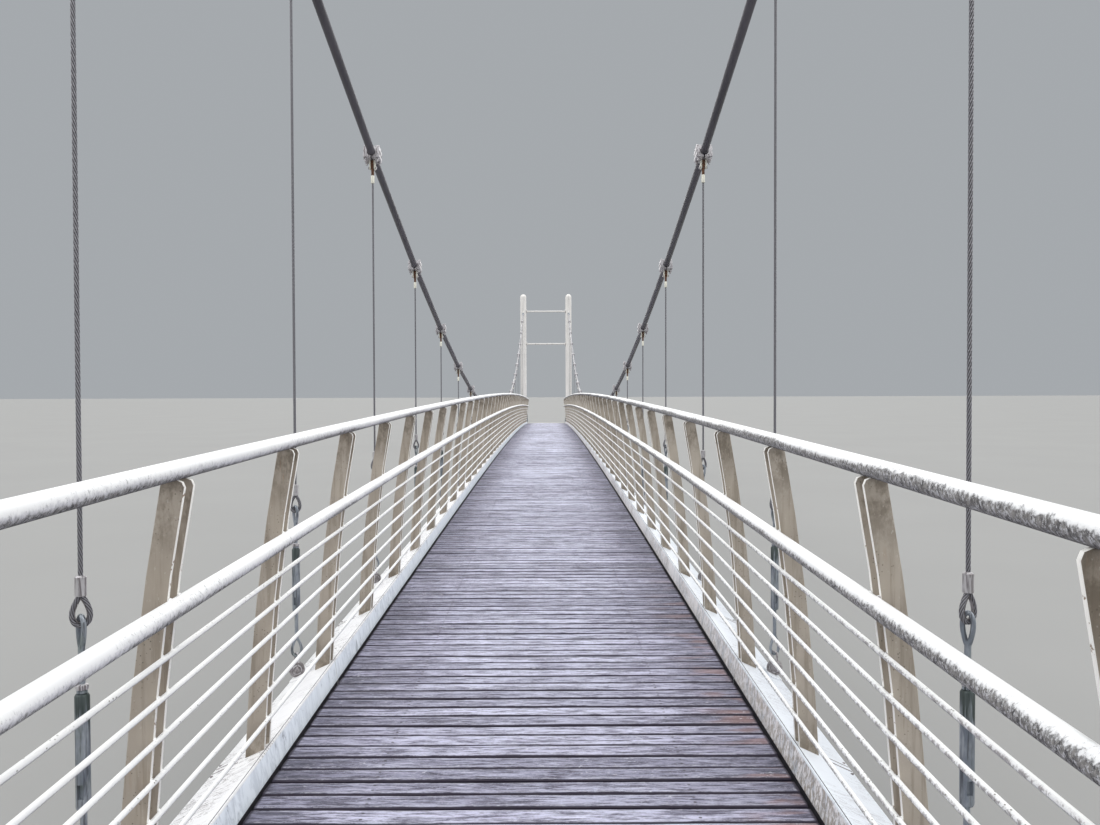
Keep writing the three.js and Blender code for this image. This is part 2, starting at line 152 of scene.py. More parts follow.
class Mould:
    """Gathers closed surfaces, given as arrays of points, to be written as one mesh.

    The points are those of the right side. On the left, where side is -1, they are mirrored.
    """

    def __init__(self, side=1):
        self.side = side
        self.points = []
        self.marks = []
        self.corners = []
        self.sizes = []
        self.finishes = []
        self.charts = []
        self.count = 0

    def add(self, rings, at=None, finish=0, mark=0.0, looped=False):
        """Adds closed bodies from rings of points, an array (copies, rows, columns, 3).

        A body (rows, columns, 3) is copied to each of the places given by at. Each ring is
        joined to the next by quads. The first and last ring are closed by flat caps, or joined
        to each other where the body is looped. The chart is u around the ring and v the length
        along the rows. The faces are turned where the volume is negative.
        """
        rings = np.asarray(rings, float)
        if at is not None:
            rings = placed(rings, at)
        if rings.ndim == 3:
            rings = rings[None]
        copies, rows, columns, _ = rings.shape
        points = (rings * (self.side, 1, 1)).reshape(-1, 3)
        row, column = np.meshgrid(
            np.arange(rows if looped else rows - 1), np.arange(columns), indexing="ij"
        )
        after, beside = (row + 1) % rows, (column + 1) % columns
        quad = [row * columns + column, row * columns + beside,
                after * columns + beside, after * columns + column]
        start = (np.arange(copies) * rows * columns)[:, None]
        quads = (start[:, :, None] + np.stack(quad, -1).reshape(1, -1, 4)).reshape(-1, 4)

        middle = rings.mean(axis=2)
        steps = np.linalg.norm(np.roll(middle, -1, axis=1) - middle, axis=-1)
        length = np.concatenate([np.zeros((copies, 1)), np.cumsum(steps, axis=1)], axis=1)
        v = length[:, row.ravel()], length[:, row.ravel() + 1]
        u = np.broadcast_to(column.ravel() / columns, v[0].shape)
        step = 1 / columns
        chart = np.stack([np.stack(pair, -1) for pair in
                          [(u, v[0]), (u + step, v[0]), (u + step, v[1]), (u, v[1])]], axis=-2)
        chart = chart.reshape(-1, 4, 2)
        groups = [(quads, chart, np.tile(np.broadcast_to(finish, columns)[column.ravel()], copies))]
        if not looped:
            first = start + np.arange(columns)
            caps = np.concatenate([first[:, ::-1], first + (rows - 1) * columns])
            end_chart = np.zeros((len(caps), columns, 2))
            end_finish = np.full(len(caps), np.broadcast_to(finish, columns)[0])
            groups.append((caps, end_chart, end_finish))
        inside_out = sum(signed_volume(points, faces) for faces, _, _ in groups) < 0
        for faces, uv, kinds in groups:
            if inside_out:
                faces, uv = faces[:, ::-1], uv[:, ::-1]
            self.corners.append((faces + self.count).ravel())
            self.sizes.append(np.full(len(faces), faces.shape[1]))
            self.charts.append(uv.reshape(-1, 2))
            self.finishes.append(kinds)
        self.points.append(points)
        self.marks.append(np.broadcast_to(mark, (copies, rows, columns)).ravel())
        self.count += len(points)

    def piece(self, name, slot, finishes, replaces=(), sharp=35):
        """Writes the mesh at half size, in the frame's place, as one piece of the bridge."""
        points = (np.concatenate(self.points) + (0, 0, CROWN)) * SCALE
        corners = np.concatenate(self.corners)
        sizes = np.concatenate(self.sizes)
        mesh = bpy.data.meshes.new(name)
        mesh.vertices.add(len(points))
        mesh.vertices.foreach_set("co", points.ravel())
        mesh.loops.add(len(corners))
        mesh.loops.foreach_set("vertex_index", corners)
        mesh.polygons.add(len(sizes))
        mesh.polygons.foreach_set("loop_start", np.concatenate([[0], np.cumsum(sizes)[:-1]]))
        mesh.polygons.foreach_set("material_index", np.concatenate(self.finishes))
        mesh.uv_layers.new(name="along").data.foreach_set("uv", np.concatenate(self.charts).ravel())
        mark = mesh.attributes.new("mark", "FLOAT", "POINT")
        mark.data.foreach_set("value", np.concatenate(self.marks))
        mesh.update(calc_edges=True)
        mesh.polygons.foreach_set("use_smooth", np.ones(len(sizes), bool))
        mesh.set_sharp_from_angle(angle=math.radians(sharp))
        for finish in finishes:
            mesh.materials.append(finish)
        thing = bpy.data.objects.new(name, mesh)
        bpy.context.scene.collection.objects.link(thing)
        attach(thing, "root")
        if replaces:
            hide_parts(*replaces)


def signed_volume(points, faces):
    """Volume under faces seen from the middle of the points: a sum of tetrahedra."""
    corners = (points - points.mean(axis=0))[faces]
    fans = [np.einsum("ij,ij->", corners[:, 0], np.cross(corners[:, k], corners[:, k + 1]))
            for k in range(1, faces.shape[1] - 1)]
    return sum(fans) / 6


def circle(columns, radius=1.0, tall=1.0, turn=0.0):
    """Points of a circle, or of an ellipse that is tall times as high: (columns, 2)."""
    angle = turn + 2 * np.pi * np.arange(columns) / columns
    return np.stack([radius * np.cos(angle), tall * radius * np.sin(angle)], -1)


def rounded(outline, radius, steps=3):
    """An outline whose corners are rounded: each becomes a quadratic curve between its sides."""
    outline = np.asarray(outline, float)
    back = np.roll(outline, 1, axis=0) - outline
    on = np.roll(outline, -1, axis=0) - outline
    sizes = np.linalg.norm(back, axis=1), np.linalg.norm(on, axis=1)
    reach = np.minimum(radius, 0.49 * np.minimum(*sizes))
    start = (outline + back * (reach / sizes[0])[:, None])[:, None]
    end = (outline + on * (reach / sizes[1])[:, None])[:, None]
    t = np.linspace(0, 1, steps)[None, :, None]
    curve = (1 - t) ** 2 * start + 2 * t * (1 - t) * outline[:, None] + t ** 2 * end
    return curve.reshape(-1, 2)


def inset(outline, distance):
    """An outline moved inwards: each point goes along the mean of its two sides' normals."""
    outline = np.asarray(outline, float)
    following = np.roll(outline, -1, axis=0)
    side = following - outline
    area = np.sum(outline[:, 0] * following[:, 1] - outline[:, 1] * following[:, 0])
    normal = np.stack([-side[:, 1], side[:, 0]], -1) * np.sign(area)
    normal /= np.maximum(np.linalg.norm(normal, axis=1), 1e-9)[:, None]
    mean = normal + np.roll(normal, 1, axis=0)
    mean /= np.maximum(np.linalg.norm(mean, axis=1), 0.3)[:, None]
    return outline + distance * mean


def plate_rings(outline, low, high, bevel):
    """Rings (4, columns, 3) of a flat plate, outline by height, with its edges bevelled."""
    small = inset(outline, bevel)
    heights = [low, low + bevel, high - bevel, high]
    return np.stack([np.column_stack([shape, np.full(len(shape), height)])
                     for shape, height in zip([small, outline, outline, small], heights)])


def side_plate(outline, low, high, bevel):
    """Rings of a plate that stands across x, between two places along it: outline is y and z."""
    return plate_rings(outline, low, high, bevel)[..., [2, 0, 1]]


def turned(profile, columns):
    """Rings (rows, columns, 3) of a body turned on the z axis: profile is radius and height."""
    profile = np.asarray(profile, float)
    ring = circle(columns)
    flat = profile[:, :1, None] * ring[None]
    height = np.broadcast_to(profile[:, 1, None, None], (len(profile), columns, 1))
    return np.concatenate([flat, height], axis=-1)


def placed(rings, places):
    """Copies of rings (rows, columns, 3), one moved to each of the places (copies, 3)."""
    return np.asarray(rings)[None] + np.asarray(places, float).reshape(-1, 1, 1, 3)


def swept(path, outline, across=(1, 0, 0), looped=False):
    """Rings of an outline carried along a path (rows, 3).

    The outline's first coordinate lies along the vector across, the second square to that and
    to the path. An outline of (rows, columns, 2) may change along the path.
    """
    path = np.asarray(path, float)
    if looped:
        tangent = np.roll(path, -1, axis=0) - np.roll(path, 1, axis=0)
    else:
        tangent = np.gradient(path, axis=0)
    tangent /= np.linalg.norm(tangent, axis=1)[:, None]
    across = np.broadcast_to(np.asarray(across, float), tangent.shape)
    first = across - tangent * np.sum(across * tangent, axis=1)[:, None]
    first /= np.linalg.norm(first, axis=1)[:, None]
    second = np.cross(tangent, first)
    outline = np.broadcast_to(outline, (len(path),) + np.shape(outline)[-2:])
    return path[:, None] + outline[..., :1] * first[:, None] + outline[..., 1:] * second[:, None]


def along_deck(outline, start, end):
    """Rings of an outline of x and height over the deck, carried along the cambered deck.

    There is a ring about every metre.
    """
    y = np.linspace(start, end, math.ceil(end - start) + 1)
    outline = np.asarray(outline, float)
    rings = np.empty((len(y), len(outline), 3))
    rings[..., 0] = outline[:, 0]
    rings[..., 1] = y[:, None]
    rings[..., 2] = outline[:, 1] + deck_level(y)[:, None]
    return rings


def stations(pitch, last):
    """Places along the bridge, one pitch apart, the same on both sides of mid-span."""
    count = round(last / pitch)
    return np.arange(-count, count + 1) * pitch


def twisted(path, across=(1, 0, 0)):
    """Rings and marks of a stranded rope along a path.

    Three points a strand, valley, flank and crown, turn around the path once each lay. The mark
    is 0 in the valleys between the strands and 1 on their crowns.
    """
    strands = 6
    lobes = np.tile([0.78, 0.97, 1.0], strands)
    angle = 2 * np.pi * (np.arange(3 * strands) / (3 * strands))
    steps = np.linalg.norm(np.diff(path, axis=0), axis=1)
    length = np.concatenate([[0], np.cumsum(steps)])
    turn = angle[None] + 2 * np.pi * length[:, None] / ROPE_LAY
    outline = np.stack([np.cos(turn), np.sin(turn)], -1) * (ROPE_RADIUS * lobes)[None, :, None]
    return swept(path, outline, across), np.tile([0.0, 0.7, 1.0], strands)


def teardrop(width, low, high, points=28):
    """A closed line (points, 2), round below and pointed above.

    Height follows the cosine of the angle. x follows its sine, narrowed by the square root of
    the share of the height that is left.
    """
    t = 2 * np.pi * np.arange(points) / points
    height = (1 - np.cos(t)) / 2
    x = width / 2 * np.sin(t) * (1 - height) ** 0.5 * 1.25
    return np.stack([x, low + (high - low) * height], -1)


def oval(width, low, high, points=28):
    """A long closed line (points, 2): two half circles joined by straight sides."""
    angle = 2 * np.pi * (np.arange(points) + 0.5) / points
    straight = (high - low - width) / 2
    z = (low + high) / 2 + width / 2 * np.sin(angle) + straight * np.sign(np.sin(angle))
    return np.stack([width / 2 * np.cos(angle), z], -1)


def standing(line, turn):
    """A flat line of x and height stood upright (points, 3), and turned about the z axis."""
    return np.stack([line[:, 0] * math.cos(turn), line[:, 0] * math.sin(turn), line[:, 1]], -1)


def square_to(turn):
    """The level direction square to a line that stands at that turn."""
    return -math.sin(turn), math.cos(turn), 0


def bent(line, radius, turn, columns=8, tall=1.0):
    """Rings of a bar bent along a closed flat line that stands at that turn; they are looped."""
    return swept(standing(line, turn), circle(columns, radius, tall), square_to(turn), True)


HEXAGON = circle(6)


def nut_rings(radius, thickness):
    """Rings of a nut: a hexagon outline between two heights, with bevelled edges."""
    return plate_rings(HEXAGON * radius, 0, thickness, 0.12 * thickness)


def laid_along_x(direction=1):
    """Axes that turn a body so that its height points along x, or against it."""
    return np.array([[0, 1, 0], [0, 0, 1], [direction, 0, 0]])


# Finishes


class Finish:
    """A procedural material on its way: each method adds a node and gives back its output.

    Patterns read the object's coordinates, brought to real metres.
    """

    def __init__(self, name, roughness=0.5, metallic=0.0):
        self.material = bpy.data.materials.new(name)
        self.material.use_nodes = True
        self.tree = self.material.node_tree
        self.shader = self.tree.nodes["Principled BSDF"]
        self.shader.inputs["Roughness"].default_value = roughness
        self.shader.inputs["Metallic"].default_value = metallic
        coordinates = self.node("ShaderNodeTexCoord").outputs["Object"]
        self.metres = self.stretched((1 / SCALE,) * 3, coordinates)

    def node(self, kind, **settings):
        node = self.tree.nodes.new(kind)
        for key, value in settings.items():
            setattr(node, key, value)
        return node

    def feed(self, socket, value):
        """Links an output to a socket, or sets the socket to a plain value."""
        if isinstance(value, bpy.types.NodeSocket):
            self.tree.links.new(value, socket)
        elif hasattr(value, "__len__") and socket.type == "RGBA" and len(value) == 3:
            socket.default_value = (*value, 1)
        else:
            socket.default_value = value

    def stretched(self, scale, source, offset=(0, 0, 0)):
        """The source's coordinates, scaled and then moved."""
        mapping = self.node("ShaderNodeMapping")
        self.feed(mapping.inputs["Vector"], source or self.metres)
        mapping.inputs["Scale"].default_value = scale
        mapping.inputs["Location"].default_value = offset
        return mapping.outputs["Vector"]

    def pattern(self, kind, scale, source=None):
        """A texture node. scale is one number, or one for each axis, in waves a metre."""
        if hasattr(scale, "__len__"):
            source, scale = self.stretched(scale, source), 1.0
        node = self.node(kind)
        self.feed(node.inputs["Vector"], source or self.metres)
        node.inputs["Scale"].default_value = scale
        return node

    def noise(self, scale, detail=3.0, rough=0.55, source=None, distortion=0.0):
        """Noise from 0 to 1."""
        node = self.pattern("ShaderNodeTexNoise", scale, source)
        node.inputs["Detail"].default_value = detail
        node.inputs["Roughness"].default_value = rough
        node.inputs["Distortion"].default_value = distortion
        return node.outputs["Fac"]

    def cells(self, scale):
        """Distance to the nearest of scattered points."""
        return self.pattern("ShaderNodeTexVoronoi", scale).outputs["Distance"]

    def math(self, operation, first, second=0.5):
        node = self.node("ShaderNodeMath", operation=operation)
        self.feed(node.inputs[0], first)
        self.feed(node.inputs[1], second)
        return node.outputs[0]

    def plus(self, first, second):
        return self.math("ADD", first, second)

    def rest(self, value):
        """What is left of 1 without the value."""
        return self.math("SUBTRACT", 1.0, value)

    def swing(self, value, gain, middle=0.5):
        """The value's distance from its middle, with its sign, times the gain."""
        return self.times(self.math("SUBTRACT", value, middle), gain)

    def apart(self, first, second):
        """Distance between two values, without a sign."""
        return self.math("ABSOLUTE", self.math("SUBTRACT", first, second))

    def times(self, *values):
        product = values[0]
        for value in values[1:]:
            product = self.math("MULTIPLY", product, value)
        return product

    def span(self, value, low, high, to_low=0.0, to_high=1.0):
        """Brings value from low..high to another range, smoothly and held at its ends."""
        node = self.node("ShaderNodeMapRange", interpolation_type="SMOOTHSTEP")
        self.feed(node.inputs["Value"], value)
        for socket, number in zip(["From Min", "From Max", "To Min", "To Max"],
                                  [low, high, to_low, to_high]):
            self.feed(node.inputs[socket], number)
        return node.outputs["Result"]

    def axis(self, letter):
        """One of the real coordinates, X, Y or Z, Z over the floor."""
        node = self.node("ShaderNodeSeparateXYZ")
        self.feed(node.inputs[0], self.metres)
        return node.outputs[letter]

    def right(self):
        """0 on the left side of the bridge and 1 on the right."""
        return self.span(self.axis("X"), -0.3, 0.3)

    def mark(self):
        return self.node("ShaderNodeAttribute", attribute_name="mark").outputs["Fac"]

    def along(self):
        """The chart around and along a tube, as u and v."""
        node = self.node("ShaderNodeSeparateXYZ")
        self.feed(node.inputs[0], self.node("ShaderNodeUVMap", uv_map="along").outputs[0])
        return node.outputs["X"], node.outputs["Y"]

    def blend(self, share, first, second):
        node = self.node("ShaderNodeMix", data_type="RGBA")
        self.feed(node.inputs["Factor"], share)
        self.feed(node.inputs[6], first)
        self.feed(node.inputs[7], second)
        return node.outputs[2]

    def colour(self, value):
        self.feed(self.shader.inputs["Base Color"], value)

    def rough(self, value):
        self.feed(self.shader.inputs["Roughness"], value)

    def bump(self, height, distance):
        """Raises the surface by height times a distance in real metres."""
        node = self.node("ShaderNodeBump")
        node.inputs["Strength"].default_value = 1.0
        node.inputs["Distance"].default_value = distance * SCALE
        self.feed(node.inputs["Height"], height)
        self.feed(self.shader.inputs["Normal"], node.outputs["Normal"])


def rail_paint():
    """White paint: clean on top, grey lichen below in short streaks across the rail.

    The lichen's edge lies higher on the right rails. Flecks of paint show through it, and in places
    its specks are strewn over the upper half as well. A purple-grey coating towards the underside is
    partly real and partly painted shade, and the near-black strip along the very bottom is dirt and
    painted shade.
    """
    f = Finish("white_rail_paint", 0.36)
    under = f.mark()
    right = f.right()
    veins = f.noise((62, 74, 62), 8, 0.8, distortion=0.2)
    patches = f.noise((5, 1.3, 5), 3, 0.6)
    reach = f.plus(under, f.plus(f.swing(veins, 1.1), f.swing(patches, 0.8)))
    lichen = f.span(reach, f.span(right, 0, 1, 0.62, 0.3), f.span(right, 0, 1, 0.84, 0.46))
    # Purple-grey towards the underside: partly a real coating, partly painted shade.
    film_and_shade = f.times(f.span(reach, f.span(right, 0, 1, 0.3, 0.12), 0.7), 0.55)
    flecks = f.span(f.noise((90, 115, 90), 7, 0.8), 0.51, 0.58)
    paint = f.blend(f.noise(2.3), (0.90, 0.90, 0.89), (0.80, 0.81, 0.83))
    shaded_paint = f.blend(film_and_shade, paint, (0.36, 0.355, 0.40))
    strewn = f.times(f.span(f.noise((55, 95, 55), 7, 0.8), 0.55, 0.62),
                     f.span(f.plus(patches, f.times(under, 0.5)), 0.52, 0.72))
    shaded_paint = f.blend(f.times(strewn, 0.65), shaded_paint, (0.17, 0.165, 0.18))
    growth = f.blend(f.span(f.noise((42, 50, 42), 7, 0.8), 0.38, 0.6), (0.06, 0.057, 0.06),
                     (0.27, 0.26, 0.25))
    grown = f.blend(f.times(lichen, f.rest(f.times(flecks, 0.85))), shaded_paint, growth)
    # Near-black strip along the very bottom: dirt and painted shade.
    f.colour(f.blend(f.span(under, 0.86, 0.97, 0, 0.8), grown, (0.06, 0.055, 0.065)))
    f.rough(f.span(lichen, 0, 0.7, 0.34, 0.85))
    f.bump(f.times(lichen, veins), 0.0022)
    return f.material


def rod_paint():
    """White paint on the rods, with small grey specks, greyer towards the underside and near black
    along its bottom: dirt and painted shade.
    """
    f = Finish("white_rod_paint", 0.4)
    specks = f.span(f.cells((90, 55, 90)), 0.24, 0.1)
    sparse = f.span(f.noise((5, 2.2, 5)), 0.46, 0.6)
    veins = f.noise((60, 130, 60), 4)
    below = f.plus(f.mark(), f.swing(veins, 0.5))
    paint = f.blend(f.noise(3), (0.90, 0.90, 0.88), (0.78, 0.79, 0.81))
    # Greyer towards the underside: dirt and painted shade.
    worn = f.blend(f.span(below, 0.5, 0.72, 0, 0.6), paint, (0.30, 0.29, 0.31))
    right = f.right()
    mottle = f.times(right, f.span(f.noise(60, 5, 0.75), 0.44, 0.56), f.span(below, 0.06, 0.36))
    worn = f.blend(f.times(mottle, 0.85), worn, (0.24, 0.22, 0.225))
    # Near black along the very bottom: dirt and painted shade.
    dirty = f.blend(f.span(below, 0.78, 0.9, 0, 0.9), worn, (0.07, 0.065, 0.075))
    f.colour(f.blend(f.times(specks, sparse), dirty, (0.2, 0.19, 0.17)))
    f.bump(veins, 0.0006)
    return f.material


def kerb_paint():
    """Bluish white paint on the kerb's sloping face: faint grey marks, brown growth on the right."""
    f = Finish("kerb_face_paint", 0.45)
    runs = f.noise((14, 24, 10), 7, 0.72, distortion=0.6)
    patches = f.noise((1.1, 1.7, 1.1), 4, 0.6)
    right = f.right()
    near = f.span(f.axis("Y"), -14.5, -19.5)
    paint = f.blend(f.noise((5, 9, 5)), (0.84, 0.89, 0.95), (0.74, 0.80, 0.88))
    paint = f.blend(f.times(right, 0.8), paint, (0.83, 0.79, 0.79))
    soft = f.times(f.span(runs, 0.42, 0.6), f.span(patches, 0.32, 0.62, 0.15, 0.7))
    grey = f.blend(f.times(soft, f.span(right, 0, 1, 0.7, 1.0)), paint, (0.44, 0.48, 0.55))
    dark = f.times(f.span(runs, 0.57, 0.64), f.span(f.noise((2, 3, 2)), 0.5, 0.6))
    grey = f.blend(f.times(dark, 0.6), grey, (0.13, 0.14, 0.18))
    growth = f.times(f.span(f.noise((40, 56, 30), 7, 0.78, distortion=0.3), 0.47, 0.56), right,
                     f.math("MAXIMUM", near, f.span(patches, 0.46, 0.6, 0.15, 0.75)))
    tint = f.blend(f.noise(7), (0.40, 0.33, 0.25), (0.26, 0.235, 0.23))
    grown = f.blend(f.times(growth, 0.85), grey, tint)
    specks = f.times(f.span(f.cells(75), 0.2, 0.1), f.span(f.noise(3), 0.48, 0.62))
    f.colour(f.blend(specks, grown, (0.16, 0.15, 0.14)))
    f.rough(f.span(soft, 0, 1, 0.4, 0.75))
    f.bump(f.plus(growth, runs), 0.0014)
    return f.material


def flange_paint():
    """White paint on the flange, with faint wavy stains and specks.

    The mark is 1 on the beam's upright outer face, where the stains run straight down and are
    fainter, and 0 elsewhere.
    """
    f = Finish("flange_paint", 0.42)
    upright = f.mark()
    runs = f.times(f.span(f.noise((14, 16, 1.6), 5, 0.62), 0.5, 0.7), upright)
    waves = f.noise((6, 24, 6), 6, 0.66, distortion=1.4)
    lines = f.apart(waves, 0.5)
    right = f.right()
    paint = f.blend(f.noise(1.7), (0.90, 0.895, 0.90), (0.81, 0.815, 0.84))
    paint = f.blend(f.times(right, 0.7), paint, (0.70, 0.75, 0.82))
    wide = f.blend(f.span(waves, 0.54, 0.75, 0, 0.35), paint, (0.50, 0.50, 0.54))
    fine = f.times(f.span(lines, 0.024, 0.006), f.span(f.noise(2.2), 0.40, 0.54),
                   f.rest(upright))
    stained = f.blend(f.times(fine, f.span(right, 0, 1, 0.9, 0.5)), wide, (0.20, 0.18, 0.185))
    stained = f.blend(f.times(runs, 0.4), stained, (0.42, 0.41, 0.42))
    specks = f.times(f.span(f.cells(60), 0.14, 0.07), f.span(f.noise(2.4), 0.48, 0.6))
    f.colour(f.blend(specks, stained, (0.2, 0.19, 0.17)))
    f.bump(waves, 0.0008)
    return f.material


def gap_dirt_and_shade():
    """Purple-black dirt and painted shade in the gap beside the deck and in the kerb's groove."""
    f = Finish("gap_dirt_and_shade", 0.9)
    f.colour(f.blend(f.noise(30, 4), (0.005, 0.004, 0.009), (0.018, 0.014, 0.024)))
    return f.material


def post_paint():
    """Taupe on the posts' broad faces, with brown dirt near top and foot: the white paint darkened
    partly by stains and partly by painted shade.
    """
    f = Finish("shaded_post_face_paint", 0.55)
    height = f.mark()
    runs = f.noise((45, 20, 3), 5, 0.62)
    blotch = f.noise((20, 20, 12), 6, 0.7)
    left = f.span(f.axis("X"), 0.3, -0.3)
    # The taupe base is the white paint of the edges darkened partly by stains and partly by painted
    # shade.
    base = f.blend(f.span(f.noise((6, 3, 3)), 0.35, 0.65), (0.475, 0.42, 0.355),
                   (0.385, 0.335, 0.275))
    base = f.blend(f.times(left, 0.3), base, (0.31, 0.265, 0.225))
    base = f.blend(f.math("SUBTRACT", 0.2, f.times(left, 0.2)), base, (0.27, 0.24, 0.205))
    streaked = f.blend(f.span(runs, 0.48, 0.66, 0, 0.5), base, (0.20, 0.165, 0.125))
    ends = f.math("MAXIMUM", f.span(height, 0.2, 0.04), f.span(height, 0.92, 1.12, 0, 0.9))
    dirty = f.times(ends, f.span(blotch, 0.4, 0.6, 0.15, 0.85))
    soiled = f.blend(dirty, streaked, (0.13, 0.105, 0.075))
    rust = f.times(f.span(f.noise((60, 40, 5), 3), 0.62, 0.7), f.span(f.noise(2.6), 0.52, 0.62))
    rusty = f.blend(f.times(rust, f.span(height, 0.5, 1.0, 0.1, 0.7)), soiled, (0.26, 0.13, 0.05))
    specks = f.times(f.span(f.cells(80), 0.2, 0.09), f.span(f.noise(7), 0.42, 0.58))
    pale = f.times(f.span(f.noise((120, 120, 60), 4, 0.7), 0.62, 0.7), 0.5)
    worn = f.blend(pale, f.blend(specks, rusty, (0.14, 0.12, 0.095)), (0.55, 0.52, 0.46))
    f.colour(worn)
    f.rough(f.span(blotch, 0.3, 0.7, 0.45, 0.75))
    f.bump(f.plus(blotch, f.times(runs, 0.5)), 0.0012)
    return f.material


def edge_paint():
    """White paint on the posts' narrow edges, chipped to rust in spots."""
    f = Finish("post_edge_paint", 0.42)
    chips = f.span(f.noise((60, 30, 34), 4, 0.7), 0.62, 0.68)
    paint = f.blend(f.noise(6), (0.91, 0.90, 0.87), (0.80, 0.78, 0.74))
    f.colour(f.blend(chips, paint, (0.25, 0.17, 0.11)))
    f.bump(chips, -0.0008)
    return f.material


def board_wood():
    """Weathered grey-violet boards: fine grain along each, worn pale down the walked middle. The pale
    bluish wear and patches grow farther ahead, partly as painted sky sheen; the rounded edges carry a
    painted highlight; the board sides in the gaps and the ends by the kerbs are near black with dirt
    and painted shade.

    The mark shifts the grain from board to board. The chart's u tells how far a point is from
    the board's middle line: 0 there, 1 where the long edges start to round, 2 on the sides.
    """
    f = Finish("weathered_boards", 0.66)
    tone = f.mark()
    u, _ = f.along()
    rim = f.apart(f.times(u, 7.0), 4.0)
    side = f.math("ABSOLUTE", f.axis("X"))
    jump = f.node("ShaderNodeCombineXYZ")
    f.feed(jump.inputs["X"], f.times(tone, 7.0))
    f.feed(jump.inputs["Z"], f.times(tone, 40.0))
    shift = f.node("ShaderNodeVectorMath", operation="ADD")
    f.feed(shift.inputs[0], f.metres)
    f.feed(shift.inputs[1], jump.outputs[0])
    own = shift.outputs[0]
    grain = f.noise((9, 90, 30), 10, 0.8, own, 0.2)
    fibre = f.noise((28, 330, 90), 5, 0.8, own)
    cloud = f.noise((2.2, 3.0, 2), 4, 0.6, own)
    walked = f.noise((1.3, 0.8, 1), 4, 0.65)

    light = f.blend(tone, (0.22, 0.215, 0.305), (0.57, 0.56, 0.74))
    dark = f.blend(tone, (0.032, 0.027, 0.05), (0.09, 0.082, 0.13))
    wood = f.blend(f.span(grain, 0.43, 0.56), dark, light)
    # Farther ahead the boards turn paler and bluer: wear down the walked middle, partly painted sky
    # sheen.
    ahead = f.span(f.axis("Y"), -20.0, -4.0)
    worn = f.times(f.span(side, 0.88, 0.25), f.span(walked, 0.36, 0.6, 0.3, 0.95),
                   f.span(ahead, 0, 1, 0.5, 1.0))
    wood = f.blend(f.times(worn, f.span(grain, 0.42, 0.52, 0.1, 1.0)), wood,
                   f.blend(tone, (0.46, 0.47, 0.62), (0.79, 0.82, 1.0)))
    # Pale patches, bluer and more common ahead: partly painted sky sheen.
    patches = f.noise(1.0, 6, 0.7, f.stretched((3.0, 17, 4), own))
    bright = f.times(f.span(patches, 0.52, 0.57), f.span(side, 0.92, 0.5, 0.25, 0.9),
                     f.span(ahead, 0, 0.8, 0.4, 1.0))
    wood = f.blend(f.times(bright, f.span(grain, 0.42, 0.54, 0.25, 1.0)), wood, (0.70, 0.705, 0.88))
    gloom = f.noise(1.0, 6, 0.7, f.stretched((2.6, 15, 4), own, (5, 3, 9)))
    gloom = f.times(f.span(gloom, 0.53, 0.6), f.span(ahead, 0, 0.8, 0.6, 0.9))
    wood = f.blend(gloom, wood, (0.05, 0.045, 0.078))
    specks = f.noise((70, 170, 60), 5, 0.8, own)
    wood = f.blend(f.span(specks, 0.56, 0.7, 0, 0.55), wood, (0.10, 0.085, 0.12))
    wood = f.blend(f.span(specks, 0.45, 0.32, 0, 0.6), wood, (0.70, 0.70, 0.84))
    edges = f.times(f.span(side, 0.52, 0.88), f.span(cloud, 0.36, 0.58, 0.25, 0.9),
                    f.span(grain, 0.35, 0.6, 1.0, 0.5))
    wood = f.blend(edges, wood, (0.042, 0.042, 0.068))
    fresh = f.times(f.span(f.axis("X"), 0.62, 0.88), f.span(f.axis("Y"), -14.5, -18.5),
                    f.span(f.noise((2, 6, 2), 3, 0.6, own), 0.5, 0.6))
    wood = f.blend(f.times(fresh, f.span(grain, 0.35, 0.6, 0.4, 0.75)), wood, (0.30, 0.17, 0.15))

    smear = f.times(f.span(f.noise((30, 70, 20), 5, 0.72), 0.6, 0.68),
                    f.span(f.noise(1.9), 0.42, 0.6))
    wood = f.blend(f.times(smear, 0.85), wood, (0.78, 0.78, 0.86))
    # Painted highlight along the rounded long edges of each board, broken up by the fibres.
    edge_highlight = f.times(f.span(rim, 0.62, 0.98), f.span(rim, 1.25, 1.02), f.span(fibre, 0.48, 0.58))
    wood = f.blend(f.times(edge_highlight, 0.7), wood, (0.60, 0.59, 0.68))
    wood = f.blend(f.span(fibre, 0.57, 0.67, 0, 0.8), wood, (0.025, 0.02, 0.03))
    across = f.swing(side, 160.0, 0.55)
    down = f.swing(rim, 8.0)
    nail = f.math("SQRT", f.plus(f.times(across, across), f.times(down, down)))
    wood = f.blend(f.span(nail, 1.1, 0.8, 0, 0.85), wood, (0.02, 0.015, 0.015))
    # Near black on the board sides in the gaps and at the ends by the kerbs: dirt and painted shade.
    near_gap = f.plus(rim, f.swing(cloud, 0.5))
    dirt = f.math("MAXIMUM", f.span(near_gap, 1.0, 1.5), f.span(side, 0.909, 0.92))
    f.colour(f.blend(dirt, wood, (0.014, 0.008, 0.024)))
    f.rough(f.span(grain, 0.3, 0.7, 0.75, 0.45))
    f.bump(f.plus(grain, f.times(fibre, 0.6)), 0.003)
    return f.material


